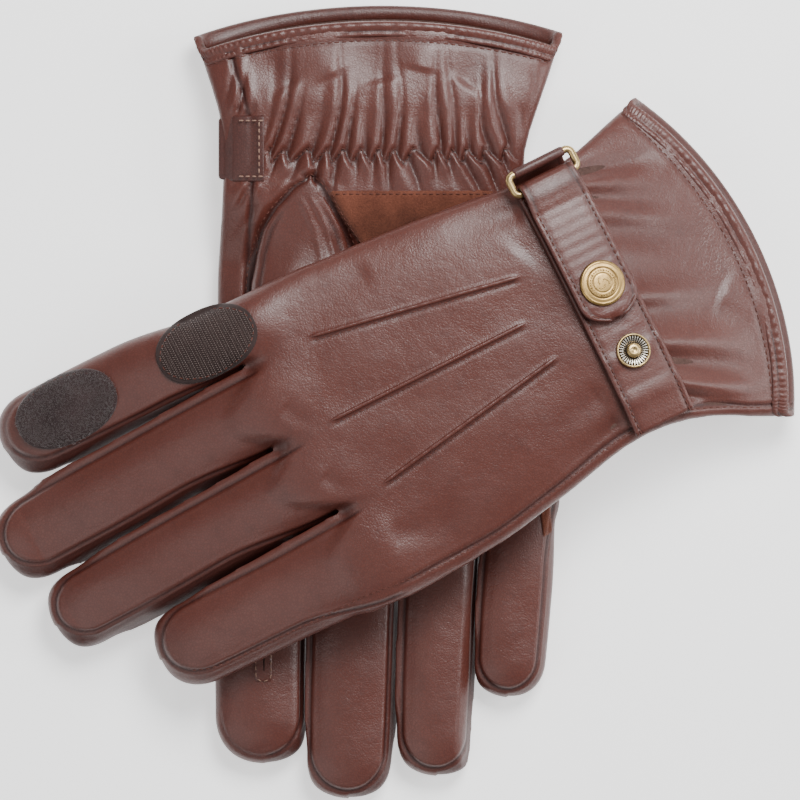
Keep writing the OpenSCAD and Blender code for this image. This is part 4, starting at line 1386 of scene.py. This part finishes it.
def strap_pieces(g, surface):
    side = NAMES[g]
    body, tab_body = side + "_glove", side + "_tab"
    hv, hh = hinge_v(g), hinge_h(g)
    lo_v = np.linspace(edge(g, STRAP_U[g], 2) - 1.5, hv + 1.5, 70)
    rise = smooth_list([strap_rise(g, surface, v) for v in lo_v])
    rise[-12:] = np.minimum(rise[-12:], np.linspace(rise[-12], hh - BAR / 2 - 0.35 - STRAP_T, 12))
    path = np.stack([lo_v, rise], 1)[::-1]
    rings = [wrist_down(g, r) for r in strap_along(path, STRAP_W, STRAP_T)]
    verts, faces = loft(rings)
    mesh = new_mesh(side + "_wrist_strap", verts, faces)
    point_data(mesh, "painted_shade_and_patina", strap_shade(len(rings)))
    piece(side + "_wrist_strap", mesh, STRAP_LEATHER, body, [side + "_strap"])
    bag = Bag()
    strap_stitches(bag, g, path, STRAP_W, STRAP_T * 0.93)
    piece(side + "_strap_stitches", bag.mesh(side + "_strap_stitches"), THREAD, body)

    # The tab: from under the inner bar, round it and back over the strap.
    r = BAR / 2 + 0.3
    turn = [(hv - r * math.sin(a), hh - r * math.cos(a)) for a in np.linspace(0.15, math.pi - 0.25, 16)]
    under = [(hv + 3.4, hh - r - 0.55), (hv + 1.8, hh - r - 0.2)]
    over = []
    for v in np.linspace(hv + 2.2, TAB_END_V, 60):
        over.append((v, max(float(strap_z(g, v)) + float(tab_lift(g, v)),
                            float(np.interp(v, lo_v[::-1], rise[::-1])) + STRAP_T + 1.2)))
    over = np.array(over)
    over[:, 1] = smooth_list(over[:, 1], 8)
    inner = np.array(under + turn + [tuple(p) for p in over])
    # The path is the leather's inner face, so its thickness lies on the far side.
    rings = []
    way = np.gradient(inner, axis=0)
    way = way / np.linalg.norm(way, axis=1)[:, None]
    reach = np.concatenate([[0], np.cumsum(np.linalg.norm(np.diff(inner, axis=0), axis=1))])
    tip = 9.0
    for (v, h), d, run in zip(inner, way, reach):
        left = reach[-1] - run
        wide = STRAP_W - 2 + 1.0 * float(ease((v - hv) / 10))
        if left < tip:
            wide *= max(0.34, math.sqrt(max(0.0, 1 - ((tip - left) / tip) ** 2.6)))
        sec = strap_section(wide, STRAP_T * (0.82 + 0.18 * float(ease((v - hv - 2) / 5))))
        sec[:, 1] += 0.05 * math.sin(run * 1.7)
        rings.append(wrist_down(g, np.stack([sec[:, 0], v - d[1] * sec[:, 1],
                                             h + d[0] * sec[:, 1]], 1)))
    verts, faces = loft(rings)
    mesh = new_mesh(side + "_fold_back_tab", verts, faces)
    shade = strap_shade(len(rings))
    # Painted shade where the tab turns round the bar.
    bend = np.repeat(np.exp(-((reach - reach[18]) / 2.5) ** 2), len(rings[0]))
    point_data(mesh, "painted_shade_and_patina", np.clip(shade + 0.35 * bend, 0, 1))
    obj = piece(side + "_fold_back_tab", mesh, STRAP_LEATHER, None, [side + "_strap_tab"])
    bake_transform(obj)
    bag = Bag()
    strap_stitches(bag, g, over[6:-9], STRAP_W - 1, STRAP_T * 0.9)
    for x0, x1, v0, v1 in ((-8.4, -5.6, -3.6, -1.4), (8.4, 5.6, -3.6, -1.4),
                           (-4.6, -1.8, -0.9, -0.35), (4.6, 1.8, -0.9, -0.35)):
        pts = []
        for x, dv in ((x0, v0), (x1, v1)):
            v = TAB_END_V + dv - 0.8
            pts.append(np.array([x, v, float(np.interp(v, over[:, 0], over[:, 1])) + STRAP_T * 0.9]))
        verts, faces = capsule(pts[0], pts[1], (0, 0, 1), 0.27)
        world = wrist_down(g, verts)
        bag.add(world, outward(world, faces))
    piece(side + "_tab_stitches", bag.mesh(side + "_tab_stitches"), THREAD, tab_body)
    return over


def strap_shade(rings):
    # Painted shade for each ring: darker in the stitch grooves, at the edges and on the underside.
    one = [0.25, 0.1, 0, 0.25, 0.7, 0.1, 0, 0, 0, 0, 0.1, 0.7, 0.25, 0, 0.1, 0.25,
           0.4, 0.5, 0.5, 0.5, 0.5, 0.4]
    return np.tile(one, rings)


def wire(points, radius, sides=14, loop=True):
    """A round bar along a closed or open path of (x, v, h) points."""
    p = np.asarray(points, float)
    rings = []
    for i in range(len(p)):
        a = p[i - 1] if loop or i else p[i]
        b = p[(i + 1) % len(p)] if loop or i < len(p) - 1 else p[i]
        d = (b - a) / np.linalg.norm(b - a)
        s = np.cross(d, (0, 0, 1.0))
        s = s / np.linalg.norm(s)
        n = np.cross(s, d)
        ang = np.linspace(0, 2 * math.pi, sides, endpoint=False)
        rings.append(p[i] + radius * (np.cos(ang)[:, None] * s + np.sin(ang)[:, None] * n))
    return loft(rings, loop=loop)


def rounded_loop(half_x, half_v, corner, centre, h):
    points = []
    for k, (sx, sv) in enumerate(((1, 1), (-1, 1), (-1, -1), (1, -1))):
        for t in np.linspace(0, math.pi / 2, 9):
            a = k * math.pi / 2 + t
            points.append((sx * (half_x - corner) + corner * math.cos(a),
                           centre + sv * (half_v - corner) + corner * math.sin(a), h))
    return points


def hardware(g, surface, over):
    side = NAMES[g]
    body, tab_body = side + "_glove", side + "_tab"
    hh = hinge_h(g)
    ring = rounded_loop((RING_L - BAR) / 2, (RING_W - BAR) / 2, 1.9,
                        OUTER_BAR_V[g] + (RING_W - BAR) / 2, hh)
    verts, faces = wire(ring, BAR / 2 * 0.98)
    world = wrist_down(g, verts)
    mesh = new_mesh(side + "_buckle_ring", world, fix_turn(g, faces))
    piece(side + "_buckle_ring", mesh, BRASS, body, [side + "_buckle"])

    def turned(name, profile, v, h, material, owner, stands=(), shade=None, sides=64):
        verts, faces = lathe(profile, sides)
        world = wrist_down(g, verts + np.array([0, v, h]))
        mesh = new_mesh(side + "_" + name, world, outward(world, faces))
        if shade is not None:
            point_data(mesh, "painted_shade_and_patina", np.repeat(shade, sides))
        return piece(side + "_" + name, mesh, material, owner,
                     [side + "_" + x for x in stands])

    cap_h = float(np.interp(CAP_V, over[:, 0], over[:, 1])) + STRAP_T * 1.02
    r = 7.55
    dome = [(0.01, -0.3), (6.6, -0.3), (7.3, -0.05), (r, 0.35), (r + 0.08, 0.75), (7.4, 1.12),
            (7.05, 1.32), (6.75, 1.36)]
    marks = [0.3, 0.3, 0.5, 0.4, 0.1, 0.0, 0.1, 0.3]
    for q in np.linspace(6.6, 0.01, 34):
        h = 1.30 + 1.15 * math.sqrt(max(0.0, 1 - (q / 9.6) ** 2)) - 0.83
        cut = math.exp(-((q - 5.15) / 0.16) ** 2) * 0.16 + math.exp(-((q - 3.25) / 0.13) ** 2) * 0.11
        dome.append((q, h - cut))
        marks.append(min(1.0, 6.5 * cut + 0.25 * math.exp(-((q - 6.5) / 0.4) ** 2)))
    turned("snap_dome", dome, CAP_V, cap_h, CAP_BRASS, tab_body, ("snap_cap",), marks, 96)
    beads = Bag()
    for k in range(30):
        a = 2 * math.pi * k / 30
        x, y = 4.2 * math.cos(a), 4.2 * math.sin(a)
        h = cap_h + 1.30 + 1.15 * math.sqrt(1 - (4.2 / 9.6) ** 2) - 0.83
        rr = 0.27 if k % 5 else 0.4
        rings = []
        for q, z in ((1.0, -0.15), (1.0, 0.02), (0.75, 0.5), (0.3, 0.72), (0.02, 0.75)):
            t = np.linspace(0, 2 * math.pi, 10, endpoint=False)
            rings.append(np.stack([x + rr * q * np.cos(t), CAP_V + y + rr * q * np.sin(t),
                                   np.full(10, h + rr * z)], 1))
        beads.add(*loft([wrist_down(g, ring) for ring in rings]))
    for k in range(3):
        a0 = 2 * math.pi * k / 3 + 0.5
        arc = []
        for t in np.linspace(0, 1.55, 14):
            rad = 2.2 - 0.75 * t
            h = cap_h + 1.30 + 1.15 * math.sqrt(1 - (rad / 9.6) ** 2) - 0.83
            arc.append((rad * math.cos(a0 + t), CAP_V + rad * math.sin(a0 + t), h + 0.03))
        verts, faces = wire(arc, 0.2, 8, loop=False)
        world = wrist_down(g, verts)
        beads.add(world, outward(world, faces))
    mesh = beads.mesh(side + "_cap_pattern")
    point_data(mesh, "painted_shade_and_patina", np.zeros(len(mesh.vertices)))
    piece(side + "_cap_pattern", mesh, CAP_BRASS, tab_body)

    socket_h = float(np.interp(CAP_V, over[:, 0], over[:, 1])) - 0.95
    turned("snap_spring_socket", [(3.4, 0.05), (3.4, 0.0), (5.3, 0.0), (5.75, 0.3), (5.75, 0.8),
                                  (5.4, 0.95), (3.7, 0.95), (3.4, 0.9), (3.4, 0.05)],
           CAP_V, socket_h, BRASS, tab_body, ("snap_socket",))

    free_h = strap_rise(g, surface, STUD_V) + STRAP_T * 1.05
    low_h = strap_rise(g, surface, CAP_V) + STRAP_T * 1.02
    plate = [(0.01, -0.25), (5.3, -0.25), (5.75, 0.0), (5.82, 0.55), (5.72, 1.12), (5.5, 1.36),
             (5.22, 1.38), (5.02, 1.2), (4.9, 0.7), (4.85, 0.4), (0.01, 0.34)]
    turned("free_stud_plate", plate, STUD_V, free_h, BRASS, body, ("snap_studs",))
    turned("free_stud_well", [(0.01, 0.3), (4.84, 0.36), (4.84, 0.44), (0.01, 0.4)], STUD_V, free_h,
           DARK_METAL, body)
    ball = [(0.01, 0.2), (1.95, 0.25), (1.9, 0.55), (2.1, 0.85), (2.42, 1.25), (2.45, 1.6),
            (2.25, 1.95), (1.7, 2.2), (1.1, 2.28), (0.85, 2.2), (0.6, 2.05), (0.01, 2.02)]
    turned("free_stud_ball", ball, STUD_V, free_h, BRASS, body)
    turned("under_stud_plate", [(0.01, -0.25), (5.3, -0.25), (5.8, 0.0), (5.6, 0.35), (2.4, 0.4),
                                (2.4, 1.0), (1.8, 1.3), (0.01, 1.3)], CAP_V, low_h, BRASS, body)
    teeth = Bag()
    for k in range(32):
        a = 2 * math.pi * k / 32
        c, s_ = math.cos(a), math.sin(a)
        rings = []
        for rad, half_w, z in ((4.86, 0.2, 1.06), (4.2, 0.24, 1.02), (3.4, 0.2, 0.86), (2.75, 0.13, 0.6)):
            ring = []
            for dx, dz in ((-1, -0.5), (1, -0.5), (0.75, 0.3), (-0.75, 0.3)):
                x, y = rad * c - dx * half_w * s_, rad * s_ + dx * half_w * c
                ring.append((x, STUD_V + y, free_h + z + dz * 0.32))
            rings.append(wrist_down(g, ring))
        teeth.add(*loft(rings))
    piece(side + "_stud_teeth", teeth.mesh(side + "_stud_teeth", False), STEEL, body)

    # The keeper: leather rolled over the outer bar, its end sewn to the palm side.
    ob = OUTER_BAR_V[g]
    r = BAR / 2 + 0.35
    tail = 13.5
    path = []
    for d in np.linspace(tail, 3.4, 26):
        v = float(edge(g, STRAP_U[g], 1)) + d
        plain = float(plain_w(g, STRAP_U[g], v))
        w = min(surface.height(STRAP_U[g] + x, v, -1, -plain) for x in (-8, -4, 0, 4, 8))
        path.append((v, min(w, -plain) * math.cos(slope(g)) - 0.5))
    path = np.array(path)
    path[:, 1] = smooth_list(path[:, 1], 4)
    path = path.tolist()
    e = float(edge(g, STRAP_U[g], 1))
    last = path[-1]
    bend = curve([last, (e + 0.6, last[1] + 2.2), (e - 1.5, -0.2), (ob - r * 0.75, hh - r * 1.25),
                  (ob - r, hh)], 24)
    path += [tuple(p) for p in bend[1:]]
    path += [(ob - r * math.cos(a), hh + r * math.sin(a)) for a in np.linspace(0.3, 3.9, 20)]
    path = np.array(path)
    rings = []
    way = np.gradient(path, axis=0)
    way = way / np.linalg.norm(way, axis=1)[:, None]
    for i, ((v, h), d) in enumerate(zip(path, way)):
        wide = 22 - 3.2 * float(ease((i - 22) / 24))
        sec = strap_section(wide, 1.25)
        # The leather's outer face is on the left of the way it runs.
        rings.append(wrist_down(g, np.stack([sec[:, 0], v - d[1] * sec[:, 1] * -1,
                                             h + d[0] * sec[:, 1] * -1], 1)))
    verts, faces = loft(rings[::-1])
    mesh = new_mesh(side + "_bar_keeper", verts, faces)
    point_data(mesh, "painted_shade_and_patina", strap_shade(len(rings)))
    piece(side + "_bar_keeper", mesh, STRAP_LEATHER, body, [side + "_keeper"])
    thread = Bag()
    for x in (-9.2, 9.2):
        for p in walk(path[:24], 2.2)[0]:
            a = np.array([x, p[0], p[1] - 1.18])
            d = np.array([0, 0.75, 0])
            verts, faces = capsule(a - d, a + d, (0, 0, -1), 0.26)
            world = wrist_down(g, verts)
            thread.add(world, outward(world, faces))
    for x in np.arange(-8, 8.1, 2.2):
        a = np.array([x, path[1][0] - 1.2, path[2][1] - 1.2])
        d = np.array([0.75, 0, 0])
        verts, faces = capsule(a - d, a + d, (0, 0, -1), 0.26)
        world = wrist_down(g, verts)
        thread.add(world, outward(world, faces))
    piece(side + "_keeper_stitches", thread.mesh(side + "_keeper_stitches"), LIGHT_THREAD,
          body)


# ------------------------------------------------------------------ hook and loop patches

def index_line(g, u):
    a, b = CROTCH[g][0], CROTCH[g][1]
    root = (a + b) / 2
    tip = TIPS[g][0]
    return root[1] + (tip[1] - root[1]) * (u - root[0]) / (tip[0] - root[0])


def patch_v(g, u):
    return index_line(g, u) - (2.8 if u > FOLD_U else 2.2)


def oval_rows(u0, v0, long, wide, power=2.3, n=26, m=22):
    rows = []
    for i in range(n):
        x = -math.cos(math.pi * i / (n - 1))
        y = max(0.05, (1 - abs(x) ** power) ** (1 / power))
        rows.append([(u0 + x * long / 2, v0 - math.cos(math.pi * j / (m - 1)) * y * wide / 2)
                     for j in range(m)])
    return rows


def patches(g, surface):
    side = NAMES[g]
    rng = np.random.default_rng(7 + g)
    hook_u = 2 * FOLD_U - LOOP_U
    v0, hook_v = patch_v(g, LOOP_U), patch_v(g, hook_u)
    for name, u0, material, slot, body, node, thick in (
            ("loop_pad", LOOP_U, PILE, "loop_pile", side + "_fingertip", "loop_patch", 1.0),
            ("hook_pad", hook_u, HOOK_BASE, "hook_tape", side + "_glove", "hook_patch", 0.75)):
        verts, faces = pad(g, surface, 1, oval_rows(u0, patch_v(g, u0), PATCH_L, PATCH_W), thick,
                           bulge=0.2)
        mesh = new_mesh(side + "_" + name, verts, faces)
        piece(side + "_" + name, mesh, material, body, [side + "_" + node])
    # Pile: short curled fibres leaning every way.
    fuzz = Bag()
    count = 5200 if g == LEFT else 1200
    length = 1.5 if g == LEFT else 0.5
    for _ in range(count):
        r, a = math.sqrt(rng.random()), rng.random() * 2 * math.pi
        reach = 1.03 if rng.random() < 0.2 else 0.97
        u = LOOP_U + reach * r * math.cos(a) * PATCH_L / 2
        v = v0 + reach * r * math.sin(a) * PATCH_W / 2
        w = surface.height(u, v, 1, None)
        if w is None:
            continue
        lean, tall = rng.random() * 2 * math.pi, rng.uniform(0.45, 0.95)
        base = np.array([u, v, w + 0.85])
        side_way = np.array([math.cos(lean), math.sin(lean), 0])
        curl = rng.uniform(0.5, 1.3)
        pts = [base + side_way * (length * 0.55 * math.sin(curl * t * 1.6)) +
               np.array([0, 0, length * tall * 0.42 * math.sin(min(t * 1.5, 1.5))]) for t in
               (0, 0.4, 0.75, 1.0)]
        across = np.array([-math.sin(lean), math.cos(lean), 0]) * rng.uniform(0.045, 0.075)
        up = np.array([0, 0, 0.07])
        ring = []
        for p, k in zip(pts, (1, 1, 0.8, 0.3)):
            ring += [p - across * k, p + across * k, p + up * k]
        faces = [(2, 1, 0), (9, 10, 11)]
        for i in range(3):
            for j in range(3):
                m = (j + 1) % 3
                faces.append((i * 3 + j, i * 3 + m, i * 3 + 3 + m, i * 3 + 3 + j))
        fuzz.add(set_down(g, ring), fix_turn(g, faces))
    piece(side + "_loop_fibres", fuzz.mesh(side + "_loop_fibres"), FIBRE,
          side + "_fingertip")
    # Hooks: rows of small bent ribs, each row leaning against the next.
    hooks = Bag()
    u = hook_u - PATCH_L / 2
    row = 0
    while u < hook_u + PATCH_L / 2:
        v = -PATCH_W / 2 + 0.35 * (row % 2)
        while v < PATCH_W / 2:
            if ((u - hook_u) / (PATCH_L / 2 - 1.0)) ** 2 + (v / (PATCH_W / 2 - 0.9)) ** 2 < 1:
                w = surface.height(u, hook_v + v, 1, None)
                if w is not None:
                    way = 1 if row % 2 else -1
                    pts = [(0.32 * way, -0.1, 0.5), (0.12 * way, 0.0, 0.95),
                           (-0.12 * way, 0.05, 1.12), (-0.34 * way, 0.1, 0.9)]
                    pts = [np.array([u + p[0] + rng.normal(0, 0.03), hook_v + v + p[1] * 3, w + p[2]])
                           for p in pts]
                    ring = []
                    for p in pts:
                        ring += [p + (0, -0.16, 0), p + (0, 0.16, 0), p + (0, 0, 0.2)]
                    faces = [(2, 1, 0), (9, 10, 11)]
                    for i in range(3):
                        for j in range(3):
                            m = (j + 1) % 3
                            faces.append((i * 3 + j, i * 3 + m, i * 3 + 3 + m, i * 3 + 3 + j))
                    hooks.add(set_down(g, ring), fix_turn(g, faces))
            v += 0.72
        u += 0.95
        row += 1
    piece(side + "_hooks", hooks.mesh(side + "_hooks"), HOOKS, side + "_glove")
    for name, u0, body in (("loop_stitches", LOOP_U, side + "_fingertip"),
                           ("hook_stitches", hook_u, side + "_glove")):
        bag = Bag()
        rim = [(u0 + (PATCH_L / 2 - 1.1) * math.cos(a),
                patch_v(g, u0) + (PATCH_W / 2 - 1.1) * math.sin(a))
               for a in np.linspace(0, 2 * math.pi, 90)]
        stitch_row(bag, g, Lifted(surface, 0.75), rim, 1, pitch=2.2, length=1.5, radius=0.24)
        piece(side + "_" + name, bag.mesh(side + "_" + name), THREAD, body)


for glove in (LEFT, RIGHT):
    skin_of = glove_body(glove)
    thumb_body(glove)
    cuff_roll(glove)
    add_stitches(glove, skin_of)
    suede_pieces(glove, skin_of)
    slit_pieces(glove, skin_of)
    raised_points(glove, skin_of)
    patch_stitches(glove, skin_of)
    tab_line = strap_pieces(glove, skin_of)
    hardware(glove, skin_of, tab_line)
    patches(glove, skin_of)
    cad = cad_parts[NAMES[glove] + "_wrist_elastic"]
    cad.data.materials.clear()
    cad.data.materials.append(LINING)

# ------------------------------------------------------------------ floor, light, camera

mesh = new_mesh("floor", [(-3, -3, 0), (3, -3, 0), (3, 3, 0), (-3, 3, 0)], [(0, 1, 2, 3)], False)
floor = bpy.data.objects.new("floor", mesh)
bpy.context.scene.collection.objects.link(floor)
FLOOR, _tree, _shader = new_material("floor")
_shader.inputs["Base Color"].default_value = (0.9, 0.9, 0.9, 1)
_shader.inputs["Roughness"].default_value = 0.95
_shader.inputs["Emission Color"].default_value = (1, 1, 1, 1)
_shader.inputs["Emission Strength"].default_value = 0.9
mesh.materials.append(FLOOR)

world = bpy.data.worlds.new("studio")
bpy.context.scene.world = world
world.use_nodes = True
world.node_tree.nodes["Background"].inputs[0].default_value = (1.0, 0.99, 0.98, 1)
world.node_tree.nodes["Background"].inputs[1].default_value = 0.30


def soft_light(name, at, aim, size, power, colour=(1, 1, 1)):
    data = bpy.data.lights.new(name, "AREA")
    data.shape, data.size, data.energy, data.color = "SQUARE", size, power, colour
    lamp = bpy.data.objects.new(name, data)
    lamp.location = at
    lamp.rotation_euler = (Vector(aim) - Vector(at)).to_track_quat("-Z", "Y").to_euler()
    bpy.context.scene.collection.objects.link(lamp)


soft_light("key", (0.27, 0.56, 0.88), (0, 0, 0), 0.5, 16)
soft_light("side", (0.85, 0.1, 0.50), (0, 0, 0.02), 0.35, 4)
soft_light("fill", (-0.6, -0.5, 0.8), (0, 0, 0), 0.9, 3.5)

camera = bpy.data.objects.new("camera", bpy.data.cameras.new("camera"))
camera.data.type = "ORTHO"
camera.data.ortho_scale = 0.264
camera.location = (0.0019, 0.0007, 1.5)
bpy.context.scene.collection.objects.link(camera)
bpy.context.scene.camera = camera
